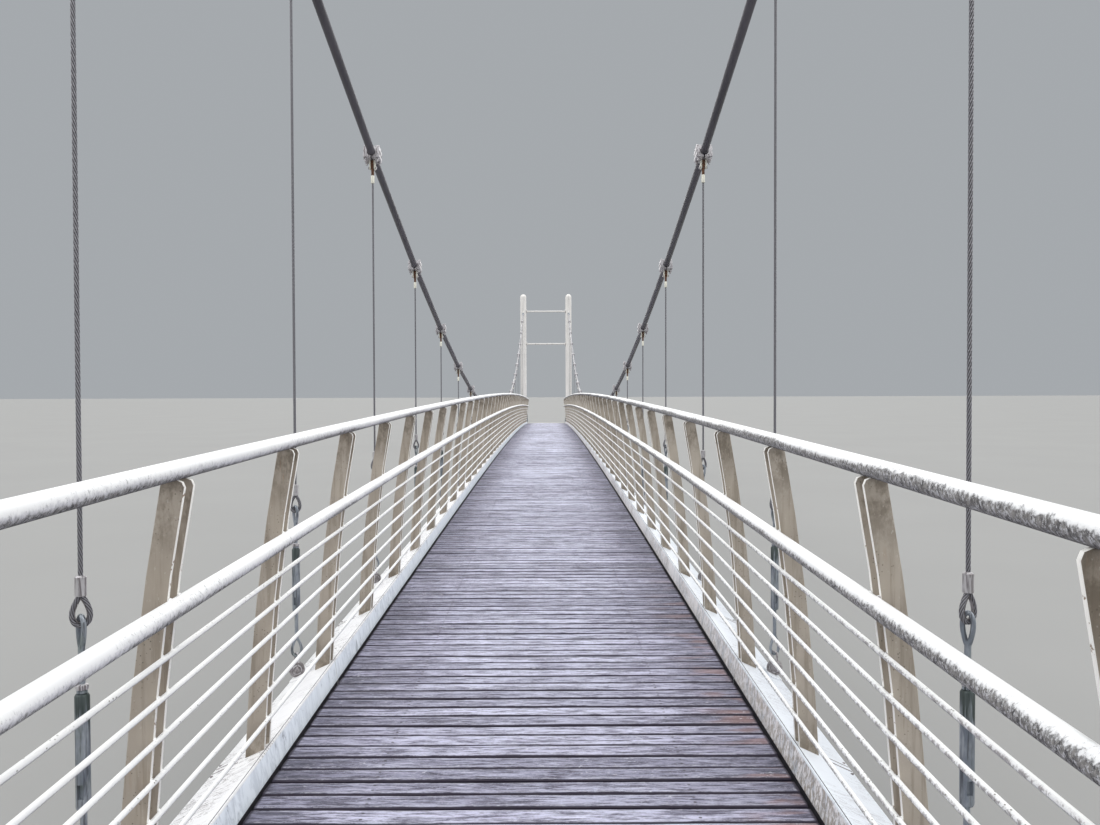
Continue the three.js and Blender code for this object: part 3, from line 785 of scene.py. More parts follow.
def cable_finish():
    """Dark smooth rope of many fine wires, wound slantwise, with a painted highlight of pale grey
    along its top.

    The chart's u is 0.25 at the bottom of the cable and 0.75 at its top.
    """
    f = Finish("dark_cable", 0.38, 0.3)
    u, v = f.along()
    turn = f.plus(f.times(u, 30.0), f.times(v, 1 / ROPE_LAY))
    wires = f.math("SINE", f.times(turn, 2 * math.pi))
    dirt = f.noise((5, 1.2, 1.2), 4, 0.6)
    base = f.blend(f.span(dirt, 0.35, 0.68), (0.05, 0.046, 0.058), (0.115, 0.108, 0.125))
    # Painted highlight: pale grey along the top of the cable, where the light falls.
    top = f.span(f.apart(u, 0.75), 0.24, 0.1)
    lit_top = f.blend(f.times(top, f.span(dirt, 0.3, 0.7, 1.0, 0.75)), base, (0.42, 0.41, 0.43))
    f.colour(f.blend(f.span(wires, -1, -0.6, 0.35, 0), lit_top, (0.02, 0.018, 0.023)))
    f.rough(f.span(dirt, 0.3, 0.7, 0.32, 0.55))
    f.bump(wires, 0.0003)
    return f.material


def rope_finish():
    """Grey steel strands, dark in the valleys between them."""
    f = Finish("hanger_rope", 0.45, 0.35)
    crown = f.span(f.mark(), 0.1, 0.85)
    wires = f.noise((700, 700, 260), 2)
    bright = f.blend(f.noise(2.0), (0.30, 0.30, 0.33), (0.20, 0.197, 0.215))
    f.colour(f.blend(crown, (0.05, 0.046, 0.048), bright))
    f.bump(wires, 0.0006)
    return f.material


def zinc_finish():
    """Dull blue-grey galvanised steel with run marks; the mark sets where dark green dirt sits."""
    f = Finish("galvanised_fittings", 0.42, 0.5)
    cloud = f.noise((22, 22, 9), 4, 0.6)
    runs = f.noise((130, 130, 7), 3, 0.6)
    base = f.blend(f.span(cloud, 0.35, 0.65), (0.19, 0.215, 0.25), (0.36, 0.39, 0.43))
    green = f.blend(f.span(f.noise(11), 0.52, 0.68, 0, 0.4), base, (0.17, 0.21, 0.165))
    streaked = f.blend(f.span(runs, 0.5, 0.62, 0, 0.65), green, (0.05, 0.052, 0.06))
    bare = f.span(f.noise((150, 150, 9), 3, 0.6), 0.58, 0.68, 0, 0.6)
    pale = f.blend(bare, streaked, (0.45, 0.49, 0.53))
    drips = f.plus(f.mark(), f.swing(runs, 1.6))
    f.colour(f.blend(f.span(drips, 0.35, 0.75, 0, 0.85), pale, (0.035, 0.05, 0.043)))
    f.rough(f.span(cloud, 0.3, 0.7, 0.34, 0.6))
    f.bump(cloud, 0.0008)
    return f.material


def marked_metal(name, roughness, metallic, waves, limits, colours):
    """Pressed metal with dark upright marks: bright and dull metal, and the marks' colour."""
    f = Finish(name, roughness, metallic)
    bright, dull, dark = colours
    marks = f.span(f.noise(waves, 3, 0.6), *limits, 0, 0.8)
    f.colour(f.blend(marks, f.blend(f.noise(30), bright, dull), dark))
    f.bump(f.noise((160, 160, 60)), 0.0005)
    return f.material


def ferrule_finish():
    """Cream-coloured dull zinc of the ferrules under the clamps."""
    f = Finish("cream_ferrules", 0.5, 0.1)
    f.colour(f.blend(f.noise((60, 60, 12), 3), (0.80, 0.79, 0.70), (0.60, 0.585, 0.50)))
    return f.material


def lug_finish():
    """Worn grey-brown steel of the round lugs."""
    f = Finish("worn_lugs", 0.55, 0.2)
    cloud = f.noise(55, 4, 0.65)
    base = f.blend(f.span(cloud, 0.35, 0.65), (0.16, 0.145, 0.145), (0.30, 0.28, 0.29))
    f.colour(f.blend(f.span(f.noise(80, 3), 0.6, 0.72), base, (0.48, 0.46, 0.45)))
    f.bump(cloud, 0.0012)
    return f.material


def rust_finish():
    """Brown rust in the forks of the clamps."""
    f = Finish("fork_rust", 0.85)
    cloud = f.noise(120, 5, 0.7)
    f.colour(f.blend(f.span(cloud, 0.35, 0.65), (0.06, 0.03, 0.02), (0.2, 0.09, 0.045)))
    f.bump(cloud, 0.001)
    return f.material


def tower_paint():
    """Cream-white paint on columns and crossbars, greyer where water runs down."""
    f = Finish("tower_paint", 0.42)
    runs = f.noise((16, 16, 0.9), 5, 0.62)
    paint = f.blend(f.noise(1.1), (0.85, 0.825, 0.80), (0.75, 0.73, 0.71))
    stained = f.blend(f.span(runs, 0.5, 0.72, 0, 0.42), paint, (0.36, 0.35, 0.32))
    foot = f.times(f.span(f.axis("Z"), 2.1, 1.15), f.span(f.noise(7, 4), 0.35, 0.65))
    f.colour(f.blend(f.times(foot, 0.7), stained, (0.23, 0.22, 0.17)))
    f.bump(f.noise(14, 4), 0.0012)
    return f.material


def concrete_finish():
    """Plain cast concrete with the marks of its boards, pores and dark damp feet."""
    f = Finish("cast_concrete", 0.88)
    height = f.axis("Z")
    boards = f.math("PINGPONG", height, 0.075)
    joint = f.span(boards, 0.004, 0.0)
    cloud = f.noise((1.6, 1.6, 2.6), 6, 0.62)
    grain = f.noise((6, 6, 60), 4, 0.6)
    pores = f.times(f.span(f.cells(26), 0.13, 0.06), f.span(f.noise(3.3), 0.42, 0.6))
    base = f.blend(f.span(cloud, 0.32, 0.68), (0.46, 0.44, 0.40), (0.62, 0.60, 0.56))
    runs = f.times(f.span(f.noise((9, 9, 0.7), 4), 0.52, 0.7), 0.4)
    base = f.blend(runs, base, (0.27, 0.26, 0.23))
    damp = f.times(f.span(height, 0.35, 0.0), f.span(f.noise(4, 4), 0.3, 0.65))
    base = f.blend(f.times(damp, 0.6), base, (0.21, 0.22, 0.17))
    marks = f.math("MAXIMUM", f.times(joint, 0.7), pores)
    f.colour(f.blend(f.times(marks, 0.6), base, (0.2, 0.19, 0.17)))
    f.bump(f.math("SUBTRACT", f.times(grain, 0.3), marks), 0.004)
    return f.material


def frame_zinc():
    """Galvanised steel of the frame under the deck."""
    f = Finish("galvanised_frame", 0.55, 0.5)
    cloud = f.noise((7, 7, 7), 5, 0.6)
    base = f.blend(f.span(cloud, 0.3, 0.7), (0.27, 0.29, 0.31), (0.43, 0.46, 0.48))
    f.colour(f.blend(f.span(f.noise(4, 5), 0.58, 0.75, 0, 0.5), base, (0.16, 0.13, 0.1)))
    f.bump(cloud, 0.001)
    return f.material


PAINT_RAIL = rail_paint()
PAINT_ROD = rod_paint()
PAINT_KERB = kerb_paint()
PAINT_FLANGE = flange_paint()
SHADED_POST_PAINT = post_paint()
PAINT_EDGE = edge_paint()
WOOD = board_wood()
GAP_DIRT_AND_SHADE = gap_dirt_and_shade()
CABLE = cable_finish()
ROPE = rope_finish()
ZINC = zinc_finish()
SILVER = marked_metal("bright_metal", 0.34, 0.45, (150, 150, 12), (0.5, 0.62),
                      [(0.66, 0.645, 0.66), (0.46, 0.44, 0.46), (0.13, 0.105, 0.11)])
PRESSED = marked_metal("pressed_metal", 0.4, 0.4, (190, 190, 14), (0.47, 0.6),
                       [(0.60, 0.59, 0.60), (0.40, 0.385, 0.40), (0.15, 0.13, 0.135)])
FERRULE = ferrule_finish()
LUG = lug_finish()
RUST = rust_finish()
PAINT_TOWER = tower_paint()
CONCRETE = concrete_finish()
FRAME_ZINC = frame_zinc()


# Deck


def lay_boards():
    """Boards across the deck, one pitch apart: a rounded outline carried along x.

    Width, height, tilt and the two long edges wander a little from board to board and along
    each board.
    """
    count = round(2 * DECK_END / BOARD_PITCH)
    y = (np.arange(count) + 0.5) * (2 * DECK_END / count) - DECK_END
    tone = random.uniform(0, 1, count)
    gap = random.uniform(0.0055, 0.0145, count)
    half = (BOARD_PITCH - gap)[:, None] / 2
    rows = 8
    x = np.linspace(-1, 1, rows) * (DECK_HALF - 0.006 - random.uniform(0, 0.004, (count, 1)))
    front = -half + random.normal(0, 0.0015, (count, rows))
    back = half + random.normal(0, 0.0015, (count, rows))
    lift = random.normal(0, 0.001, (count, 1)) + random.normal(0, 0.0005, (count, rows))
    lean = random.normal(0, 0.006, (count, 1)) * half
    crown = random.uniform(-0.001, 0.001, (count, 1))
    low = np.full((count, rows), -BOARD_THICKNESS)
    chamfer, shoulder, rim, top = 0.006, -0.009, -0.002, -0.0015
    outline = [
        (front, low),
        (back, low),
        (back, shoulder + lift + lean),
        (back - chamfer, rim + lift + lean),
        ((front + back) / 2, top + lift + crown),
        (front + chamfer, rim + lift - lean),
        (front, shoulder + lift - lean),
    ]
    rings = np.empty((count, rows, len(outline), 3))
    rings[..., 0] = x[..., None]
    rings[..., 1] = y[:, None, None] + np.stack([along for along, _ in outline], -1)
    rings[..., 2] = deck_level(y)[:, None, None] + np.stack([height for _, height in outline], -1)
    mark = np.broadcast_to(tone[:, None, None], rings.shape[:-1])
    third = real_box("middle_deck")[1][1]
    for name, chosen in [("near", y < -third), ("middle", np.abs(y) <= third), ("far", y > third)]:
        mould = Mould()
        mould.add(rings[chosen], mark=mark[chosen])
        mould.piece(f"{name}_deck_boards", "timber", [WOOD], [f"{name}_deck"], sharp=25)


def make_underframe():
    """Rolled cross-beams under each pair of hangers, and two box stringers that carry the boards.

    A beam is an I outline carried along x, a stringer a rounded box outline along the deck.
    """
    mould = Mould()
    beam_top, beam_bottom, wide, web, flange = -0.1155, -0.215, 0.04, 0.004, 0.008
    fillet = 1.6 * flange
    outline = np.array([
        (-wide, beam_bottom), (wide, beam_bottom), (wide, beam_bottom + flange),
        (web, beam_bottom + fillet), (web, beam_top - fillet), (wide, beam_top - flange),
        (wide, beam_top), (-wide, beam_top), (-wide, beam_top - flange),
        (-web, beam_top - fillet), (-web, beam_bottom + fillet), (-wide, beam_bottom + flange),
    ])
    hangers = stations(HANGER_PITCH, LAST_HANGER)
    seats = [(y, WEB_X - 0.002) for y in hangers] + [(-HALF_SPAN, 0.9), (HALF_SPAN, 0.9)]
    for y, half in seats:
        rings = np.empty((2, len(outline), 3))
        rings[..., 0] = [[-half], [half]]
        rings[..., 1] = y + outline[:, 0]
        rings[..., 2] = deck_level(y) + outline[:, 1]
        mould.add(rings)
    low, high, wall = -0.1195, -0.0455, 0.03
    for x in (-0.55, 0.55):
        box = [(x - wall, low), (x + wall, low), (x + wall, high), (x - wall, high)]
        mould.add(along_deck(rounded(box, 0.006), -DECK_END, DECK_END))
    y = np.repeat(hangers, 4)
    x = np.tile([-0.575, -0.525, 0.525, 0.575], len(hangers))
    below = np.stack([x, y + 0.022, deck_level(y) + beam_bottom + flange + 0.083], -1)
    mould.add(nut_rings(0.011, 0.009), at=below)
    mould.piece("deck_frame", "galvanised_steel", [FRAME_ZINC], ["underframe"])


# Kerbs and posts


def make_kerb(name, side):
    """Folded plate that is the kerb: web, sloping face, ridge, groove, wide flange, outer face.

    The outline is carried along the deck in lengths that meet at thin joints. Each point comes with
    the finish of the face that follows it: sloping face, white paint, or near-black dirt and painted
    shade on the web's top in the gap by the deck and in the groove. The mark is 1 on the outer face.
    """
    face, white, dirt = 0, 1, 2
    edge_z = flange_top(FLANGE_EDGE_X)
    under = flange_top(BEAM_FACE_X)
    outline = np.array([
        (WEB_X, KERB_BOTTOM, white),
        # Near black on the web's top, in the gap by the deck: dirt and painted shade.
        (WEB_X, -0.075, dirt),
        (WEB_X, -0.019, dirt),
        (WEB_X + 0.0012, -0.0145, face),
        (RIDGE_X - 0.0035, RIDGE_Z - 0.006, white),
        (RIDGE_X, RIDGE_Z, white),
        # Near black in the groove behind the ridge: dirt and painted shade.
        (RIDGE_X + 0.004, RIDGE_Z - 0.001, dirt),
        (RIDGE_X + 0.0045, RIDGE_Z - 0.0065, dirt),
        (RIDGE_X + 0.0085, RIDGE_Z - 0.0085, dirt),
        (RIDGE_X + 0.009, flange_top(RIDGE_X + 0.009), white),
        (FLANGE_EDGE_X - 0.004, flange_top(FLANGE_EDGE_X - 0.004), white),
        (FLANGE_EDGE_X, edge_z - 0.003, white),
        (FLANGE_EDGE_X, edge_z - 0.009, white),
        (BEAM_FACE_X, under - 0.012, white),
        (BEAM_FACE_X, KERB_BOTTOM, white),
        (BEAM_FACE_X - PLATE, KERB_BOTTOM, white),
        (BEAM_FACE_X - PLATE, under - 0.009, white),
        (RIDGE_X + 0.008, RIDGE_Z - 0.0165, white),
        (WEB_X + PLATE, -0.015, white),
        (WEB_X + PLATE, KERB_BOTTOM, white),
    ])
    mould = Mould(side)
    joints = np.arange(-LAST_HANGER, LAST_HANGER + 0.1, KERB_JOINTS)
    limits = np.concatenate([[-KERB_END], joints, [KERB_END]])
    for start, end in zip(limits[:-1], limits[1:]):
        rings = along_deck(outline[:, :2], start + 0.003, end - 0.003)
        mould.add(rings, finish=outline[:, 2].astype(int), mark=(outline[:, 0] == BEAM_FACE_X) * 1.0)
    paints = [PAINT_KERB, PAINT_FLANGE, GAP_DIRT_AND_SHADE]
    mould.piece(f"{name}_kerb", "white_paint", paints, [f"{name}_edge_beam"])


def make_flange_trim(name, side):
    """Foot plates of the lugs on the flange; between them weld seams and screws by the posts.

    A plate is a flat outline raised by the flange's slope, a seam a flat round outline along a
    sine wave.
    """
    mould = Mould(side)
    inner, outer = 1.1, 1.164
    plate = rounded([(inner, -0.085), (outer, -0.06), (outer, 0.06), (inner, 0.085)], 0.02, 4)
    rings = plate_rings(plate, -0.001, 0.005, 0.0012)
    rings[..., 2] += flange_top(rings[..., 0])
    y = stations(HANGER_PITCH, LAST_HANGER)
    mould.add(rings, at=np.stack([np.zeros_like(y), y, deck_level(y)], -1))
    y = y[:-1] + HANGER_PITCH / 2
    x = np.linspace(1.065, 1.158, 9)
    for along in (-0.055, -0.015):
        line = np.stack([x, along + 0.0012 * np.sin(60 * x), flange_top(x) - 0.0006], -1)
        seam = swept(line, circle(6, 0.0026, 0.8), (0, 1, 0))
        mould.add(seam, at=np.stack([np.zeros_like(y), y, deck_level(y)], -1), finish=1)
    screw_x = 1.15
    screw = turned([(0.0062, -0.001), (0.0062, 0.0022), (0.004, 0.0034)], 10)
    for along in (-0.085, 0.01):
        z = deck_level(y) + flange_top(screw_x)
        mould.add(screw, at=np.stack([np.full_like(y, screw_x), y + along, z], -1), finish=1)
    mould.piece(f"{name}_flange_trim", "white_paint", [PAINT_FLANGE, LUG])


def make_posts(name, side):
    """Posts of two upright flats: an outline of x and height, rounded at the inner top corner.

    Broad faces are taupe, partly painted shade, and so are the bevels along the outer edge. The
    narrow edges are white. The mark is the height over the deck.
    """
    heights = np.array([0.3, 0.62, 0.92])
    foot, corner = 0.045, 0.02
    outer, inner = post_outer(POST_TOP), post_inner(POST_TOP)
    arc = np.linspace(0, np.pi / 2, 3)
    outline = [(post_inner(foot), flange_top(post_inner(foot)) - 0.004),
               (post_outer(foot), flange_top(post_outer(foot)) - 0.004)]
    outline += [(post_outer(h), h) for h in heights]
    outline += [(outer, POST_TOP - 0.004), (outer - 0.004, POST_TOP)]
    outline += [(inner + corner - corner * math.sin(a), POST_TOP - corner + corner * math.cos(a))
                for a in arc]
    outline += [(post_inner(h), h) for h in heights[::-1]]
    rings = plate_rings(np.array(outline), -FLAT_THICKNESS / 2, FLAT_THICKNESS / 2, 0.0014)
    rings = rings[..., [0, 2, 1]]
    y = stations(1.0, LAST_POST)
    y = np.sort(np.concatenate([y - FLAT_SPREAD / 2, y + FLAT_SPREAD / 2]))
    copies = placed(rings, np.stack([np.zeros_like(y), y, deck_level(np.round(y))], -1))
    copies[..., 1] += random.normal(0, 0.0006, (len(y), 1, 1)) * rings[None, ..., 2]
    mould = Mould(side)
    mould.add(copies, mark=np.broadcast_to(rings[..., 2], copies.shape[:-1]))
    edges = np.ones((3, len(outline)), int)
    bevels, outer_edge = [0, 2], slice(1, 6)
    edges[bevels, outer_edge] = 0
    mould.finishes = [np.tile(edges.ravel(), len(copies)), np.zeros(2 * len(copies), int)]
    mould.piece(f"{name}_posts", "post_paint", [SHADED_POST_PAINT, PAINT_EDGE])


def make_rails(name, side):
    """Handrail, mid-rail and rods: round outlines carried along the cambered deck.

    The mark is 0 on top of a rail and 1 below.
    """
    rails = [
        ("top_rail", "handrail", HANDRAIL_X, POST_TOP + RAIL_RADIUS - 0.002, RAIL_RADIUS),
        ("lower_rail", "mid_rail", post_inner(MID_RAIL_Z) - RAIL_RADIUS, MID_RAIL_Z, RAIL_RADIUS),
    ]
    rails += [(f"bar_{i}", f"rod_{i}", post_inner(z) - ROD_RADIUS, z, ROD_RADIUS)
              for i, z in enumerate(ROD_HEIGHTS, 1)]
    for piece, node, x, z, radius in rails:
        columns, paint = (12, PAINT_ROD) if radius == ROD_RADIUS else (28, PAINT_RAIL)
        ring = circle(columns, radius, turn=np.pi / 2) + (x, z)
        below = (1 - (ring[:, 1] - z) / radius) / 2
        mould = Mould(side)
        mould.add(along_deck(ring, -RAIL_END, RAIL_END), mark=below)
        mould.piece(f"{name}_{piece}", "white_paint", [paint], [f"{name}_{node}"])


def make_welds(name, side):
    """Small beads of weld where the rods and the mid-rail meet each flat: flattened domes."""
    mould = Mould(side)
    dome = turned([(1.0, 0.0), (0.75, 0.7), (0.3, 1.0)], 7)
    y = stations(1.0, LAST_POST)
    y = np.concatenate([y - FLAT_SPREAD / 2, y + FLAT_SPREAD / 2])
    seats = [(MID_RAIL_Z, RAIL_RADIUS, 0.0065)] + [(z, ROD_RADIUS, 0.0048) for z in ROD_HEIGHTS]
    for z, radius, size in seats:
        x = np.full_like(y, post_inner(z) - 0.25 * radius)
        for up in (-1, 1):
            centre = np.stack([x, y, deck_level(np.round(y)) + z + up * 0.62 * radius], -1)
            mould.add(dome * (0.8 * size, 1.5 * size, up * size), at=centre, mark=0.3)
    mould.piece(f"{name}_rod_welds", "white_paint", [PAINT_ROD])


# Hangers: the heights of their fittings are over the deck

EYE_TURN = math.radians(-35)
LOOP_TURN = math.radians(20)
LUG_TURN = math.radians(-20)
LUG_Z = 0.037
BARREL_LOW = 0.315
BARREL_HIGH = 0.617
ROD_TOP = 0.735
EYE_TOP = 0.815
ROPE_START = 0.9
CLAMP_DROP = 0.195
HANGERS = stations(HANGER_PITCH, LAST_HANGER)
LONG_HANGERS = HANGERS[cable_level(HANGERS) - deck_level(HANGERS) > 1.0]
SHORT_HANGERS = HANGERS[cable_level(HANGERS) - deck_level(HANGERS) <= 1.0]


def on_deck(y):
    """Where the hangers stand: on the cable's line, at the deck's level."""
    return np.stack([np.full_like(y, CABLE_X), y, deck_level(y)], -1)


def make_lugs(name, side):
    """Round lugs on the flange: a thick turned disc with a boss, a bright ring and a bright eye."""
    mould = Mould(side)
    feet = on_deck(HANGERS)
    half = [(0.036, 0.0), (0.036, 0.0125), (0.033, 0.0165), (0.0265, 0.0165), (0.0245, 0.0135),
            (0.0165, 0.0135), (0.0155, 0.0175), (0.009, 0.0175)]
    profile = [(r, -h) for r, h in half[:0:-1]] + half
    axes = np.array([[math.cos(LUG_TURN), math.sin(LUG_TURN), 0], [0, 0, 1],
                     [-math.sin(LUG_TURN), math.cos(LUG_TURN), 0]])
    mould.add(turned(profile, 28) @ axes + (0, 0, LUG_Z), at=feet)
    flat = np.column_stack([circle(24, 0.0205), np.zeros(24)])
    for face in (-0.0145, 0.0145):
        path = (flat + (0, 0, face)) @ axes
        ring = swept(path, circle(7, 0.0028), axes[2], True) + (0, 0, LUG_Z)
        mould.add(ring, at=feet, looped=True, finish=1)
    eye = bent(oval(0.024, 0.05, 0.113), 0.005, side * EYE_TURN)
    mould.add(eye, at=feet, looped=True, finish=1)
    mould.piece(f"{name}_hanger_lugs", "galvanised_steel", [LUG, SILVER])


def turnbuckle():
    """Rings and marks of a tube with rounded ends and a pair of slots near its foot.

    The radius is a function of angle and height: full outside the slots, small inside. The
    mark grows towards the top, where dirt has dripped over the tube.
    """
    full, core = 0.0185, 0.01
    slot_low, slot_high = 0.346, 0.384
    heights = np.array([
        BARREL_LOW - 0.002, BARREL_LOW, 0.321, slot_low, slot_low + 0.0002, 0.353, 0.376,
        slot_high - 0.0008, slot_high, 0.46, 0.53, 0.609, BARREL_HIGH - 0.002, BARREL_HIGH
    ])
    radii = np.full(len(heights), full)
    radii[[0, 1, -2, -1]] = full - np.array([0.007, 0.003, 0.003, 0.007])
    slots, edge = (0.5 * np.pi, -0.5 * np.pi), np.radians(26)
    across_slot = np.array([-edge - 0.01, -edge, 0, edge, edge + 0.01])
    between = np.radians([-45, -20, 0, 20, 45, 135, 160, 180, 200, 225])
    angle = np.sort(np.concatenate([slot + across_slot for slot in slots] + [between]))
    away = [np.abs((angle - slot + np.pi) % (2 * np.pi) - np.pi) for slot in slots]
    level = (heights > slot_low + 0.0001) & (heights < slot_high - 0.0005)
    within = (np.minimum(*away) <= edge + 1e-6)[None] & level[:, None]
    radius = np.where(within, core, radii[:, None])
    rings = np.stack([radius * np.cos(angle), radius * np.sin(angle),
                      np.broadcast_to(heights[:, None], radius.shape)], -1)
    return rings, np.clip((heights - 0.48) / 0.13, 0, 1)[:, None] * np.ones(len(angle))


def make_fittings(name, side):
    """Galvanised fittings of each hanger: bow, rod, turnbuckle, nut, collar and forged eye."""
    mould = Mould(side)
    feet = on_deck(HANGERS)
    bow = bent(teardrop(0.045, 0.101, 0.19), 0.0065, side * LOOP_TURN, 10)
    mould.add(bow, at=feet, looped=True)
    mould.add(turned([(0.0075, 0.178), (0.0085, 0.184), (0.0085, BARREL_LOW + 0.003)], 14), at=feet)
    barrel, mark = turnbuckle()
    mould.add(barrel, at=feet, mark=mark)
    nut = turned([(0.013, 0.6165), (0.0148, 0.618), (0.0148, 0.624), (0.013, 0.626)], 6)
    mould.add(nut, at=feet, mark=0.45)
    collar = turned([(0.0085, 0.624), (0.0155, 0.627), (0.0162, 0.632), (0.0155, 0.638),
                     (0.009, 0.641)], 20)
    mould.add(collar, at=feet, finish=1)
    mould.add(turned([(0.0085, 0.6), (0.0085, ROD_TOP)], 14), at=on_deck(LONG_HANGERS))
    upturned = teardrop(0.027, 0, 0.09) * (1, -1) + (0, EYE_TOP)
    eye = bent(upturned, 0.0068, side * EYE_TURN, 12)
    mould.add(eye, at=on_deck(LONG_HANGERS), looped=True)
    for y in SHORT_HANGERS:
        top = cable_level(y) - deck_level(y) - 0.1
        mould.add(turned([(0.0085, 0.6), (0.0085, float(top))], 14), at=on_deck(y))
    fittings = f"{name}_hanger_fittings"
    mould.piece(fittings, "galvanised_steel", [ZINC, SILVER], [f"{name}_main_cable"])


def make_ropes(name, side):
    """Hanger ropes of six twisted strands, from the lower ferrule to the one under the clamp."""
    mould = Mould(side)
    for y in LONG_HANGERS:
        low = deck_level(y) + ROPE_START
        high = cable_level(y) - CLAMP_DROP + 0.01
        rows = max(3, int((high - low) / (ROPE_LAY / 10)))
        z = np.linspace(low, high, rows)
        rings, mark = twisted(np.stack([np.full(rows, CABLE_X), np.full(rows, y), z], -1))
        mould.add(rings, mark=mark)
    mould.piece(f"{name}_hanger_ropes", "wire_rope", [ROPE])


def make_thimbles(name, side):
    """Rope eyes: a strand rope around a pointed thimble, and the pressed ferrule that closes it."""
    mould = Mould(side)
    turn = side * LOOP_TURN
    feet = on_deck(LONG_HANGERS)
    loop = np.roll(teardrop(0.045, 0.79, 0.872, 60), 29, axis=0)[1:-1]
    rings, mark = twisted(standing(loop, turn), square_to(turn))
    mould.add(rings, at=feet, mark=mark)
    thimble = bent(teardrop(0.031, 0.7985, 0.86, 30), 0.0055, turn, tall=0.3)
    mould.add(thimble, at=feet, looped=True, finish=3)
    ferrule = turned([(0.0105, 0.866), (0.0142, 0.868), (0.0142, 0.916), (0.0095, 0.92)], 20)
    mould.add(ferrule, at=feet, finish=1)
    tops = feet.copy()
    tops[:, 2] = cable_level(LONG_HANGERS) - CLAMP_DROP
    ferrule = turned([(0.0085, 0.0), (0.0122, 0.003), (0.0122, 0.051), (0.009, 0.057)], 20)
    mould.add(ferrule, at=tops, finish=2)
    mould.piece(f"{name}_rope_ends", "wire_rope", [ROPE, PRESSED, FERRULE, LUG])


def clamp_axes(y):
    """Axes of a clamp: x, the cable's direction there, and square to both."""
    slope = 2 * CABLE_CURVE * y
    along = np.array([0, 1, slope]) / math.hypot(1, slope)
    return np.array([[1, 0, 0], along, np.cross([1, 0, 0], along)])


def tapered(low, high, foot, head, radius, steps=3):
    """An outline as wide as twice foot at its low end and twice head at its high end, rounded."""
    return rounded([(-foot, low), (foot, low), (head, high), (-head, high)], radius, steps)


def make_clamps(name, side):
    """Two-part cable clamps with four upright bolts, and the fork below with the hanger's pin."""
    mould = Mould(side)
    arc = np.radians(np.linspace(82, -82, 9))
    bore = (CABLE_RADIUS + 0.0004) * np.stack([np.cos(arc), np.sin(arc)], -1)
    cheek = rounded([(0.0035, -0.04), (0.057, -0.04), (0.057, -0.008), (0.05, 0.0), (0.057, 0.01),
                     (0.055, 0.044), (0.032, 0.05), (0.0035, 0.036)], 0.009, 3)
    outline = np.concatenate([[(0.0035, -0.04)], cheek[2:-2], [(0.0035, 0.036)], bore])
    jaw = plate_rings(outline, -0.05, 0.05, 0.003)[..., [0, 2, 1]]
    head = turned([(0.0115, 0), (0.0115, 0.006), (0.0085, 0.01)], 12)
    nut = plate_rings(HEXAGON * 0.011, -0.0095, 0, 0.0012)
    thread = turned([(0.005, -0.022), (0.006, -0.02), (0.006, 0.0)], 10)
    fork = tapered(-0.102, -0.036, 0.02, 0.025, 0.014, 5)
    core = tapered(-0.085, -0.04, 0.014, 0.016, 0.003)
    tongue = tapered(-0.143, -0.078, 0.01, 0.014, 0.008, 4)
    pin = turned([(0.0105, -0.028), (0.0105, -0.024), (0.0075, -0.0235), (0.0075, 0.0235),
                  (0.0105, 0.024), (0.0105, 0.028)], 14)
    for y in HANGERS:
        axes = clamp_axes(y)
        centre = np.array([CABLE_X, y, cable_level(y)])
        for half in (-1, 1):
            mould.add((jaw * (half, 1, 1)) @ axes + centre)
            for along in (-0.03, 0.03):
                for thing, up in ((head, 0.046), (nut, -0.0395), (thread, -0.0395)):
                    mould.add((thing + (half * 0.043, along, up)) @ axes + centre)
            low, high = sorted([half * 0.0115, half * 0.0195])
            mould.add(side_plate(fork, low, high, 0.0012) + centre, finish=2)
        mould.add(side_plate(core, -0.0112, 0.0112, 0.001) + centre, finish=1)
        mould.add(pin @ laid_along_x() + centre + (0, 0, -0.088))
        mould.add(side_plate(tongue, -0.008, 0.008, 0.0012) + centre, finish=1)
    mould.piece(f"{name}_clamps", "galvanised_steel", [SILVER, RUST, FERRULE])


# Main cables, stays and towers


def make_cable(name, side):
    """Main cable: a round outline along straight runs from clamp to clamp and to the towers."""
    clear_of_pin = 0.12
    end = HALF_SPAN - EAR_REACH - clear_of_pin
    y = np.concatenate([[-end]] + [[s - 0.03, s + 0.03, s + 1] for s in HANGERS] + [[end]])
    y = np.sort(np.where(np.abs(y) > end, end, y))
    knots = np.concatenate([[-HALF_SPAN], HANGERS, [HALF_SPAN]])
    last = cable_level(LAST_HANGER) + END_SLOPE * (HALF_SPAN - LAST_HANGER)
    heights = np.concatenate([[last], cable_level(HANGERS), [last]])
    path = np.stack([np.full_like(y, CABLE_X), y, np.interp(y, knots, heights)], -1)
    mould = Mould(side)
    mould.add(swept(path, circle(24, CABLE_RADIUS)))
    mould.piece(f"{name}_cable_rope", "wire_rope", [CABLE])


def add_socket(mould, start, towards):
    """A cast socket: a cone that swallows the rope's end, a neck, and a fork with its pin.

    start is the pin, towards the direction in which the rope leaves it.
    """
    towards = np.asarray(towards, float) / np.linalg.norm(towards)
    across = np.array([1.0, 0, 0])
    axes = np.array([across, np.cross(towards, across), towards])
    cone = turned([(0.04, 0.1), (0.058, 0.115), (0.06, 0.15), (0.056, 0.2), (0.036, 0.42),
                   (0.033, 0.44), (0.028, 0.45)], 28)
    mould.add(cone @ axes + start)
    arm = tapered(-0.055, 0.13, 0.045, 0.048, 0.04, 6)
    head = turned([(0.03, 0), (0.03, 0.006), (0.027, 0.009)], 20)
    inner, outer = 0.0175, 0.0375
    for half in (-1, 1):
        mould.add(side_plate(arm, *sorted([half * inner, half * outer]), 0.003) @ axes + start)
        mould.add(head @ laid_along_x(half) + (half * outer, 0, 0) + start)


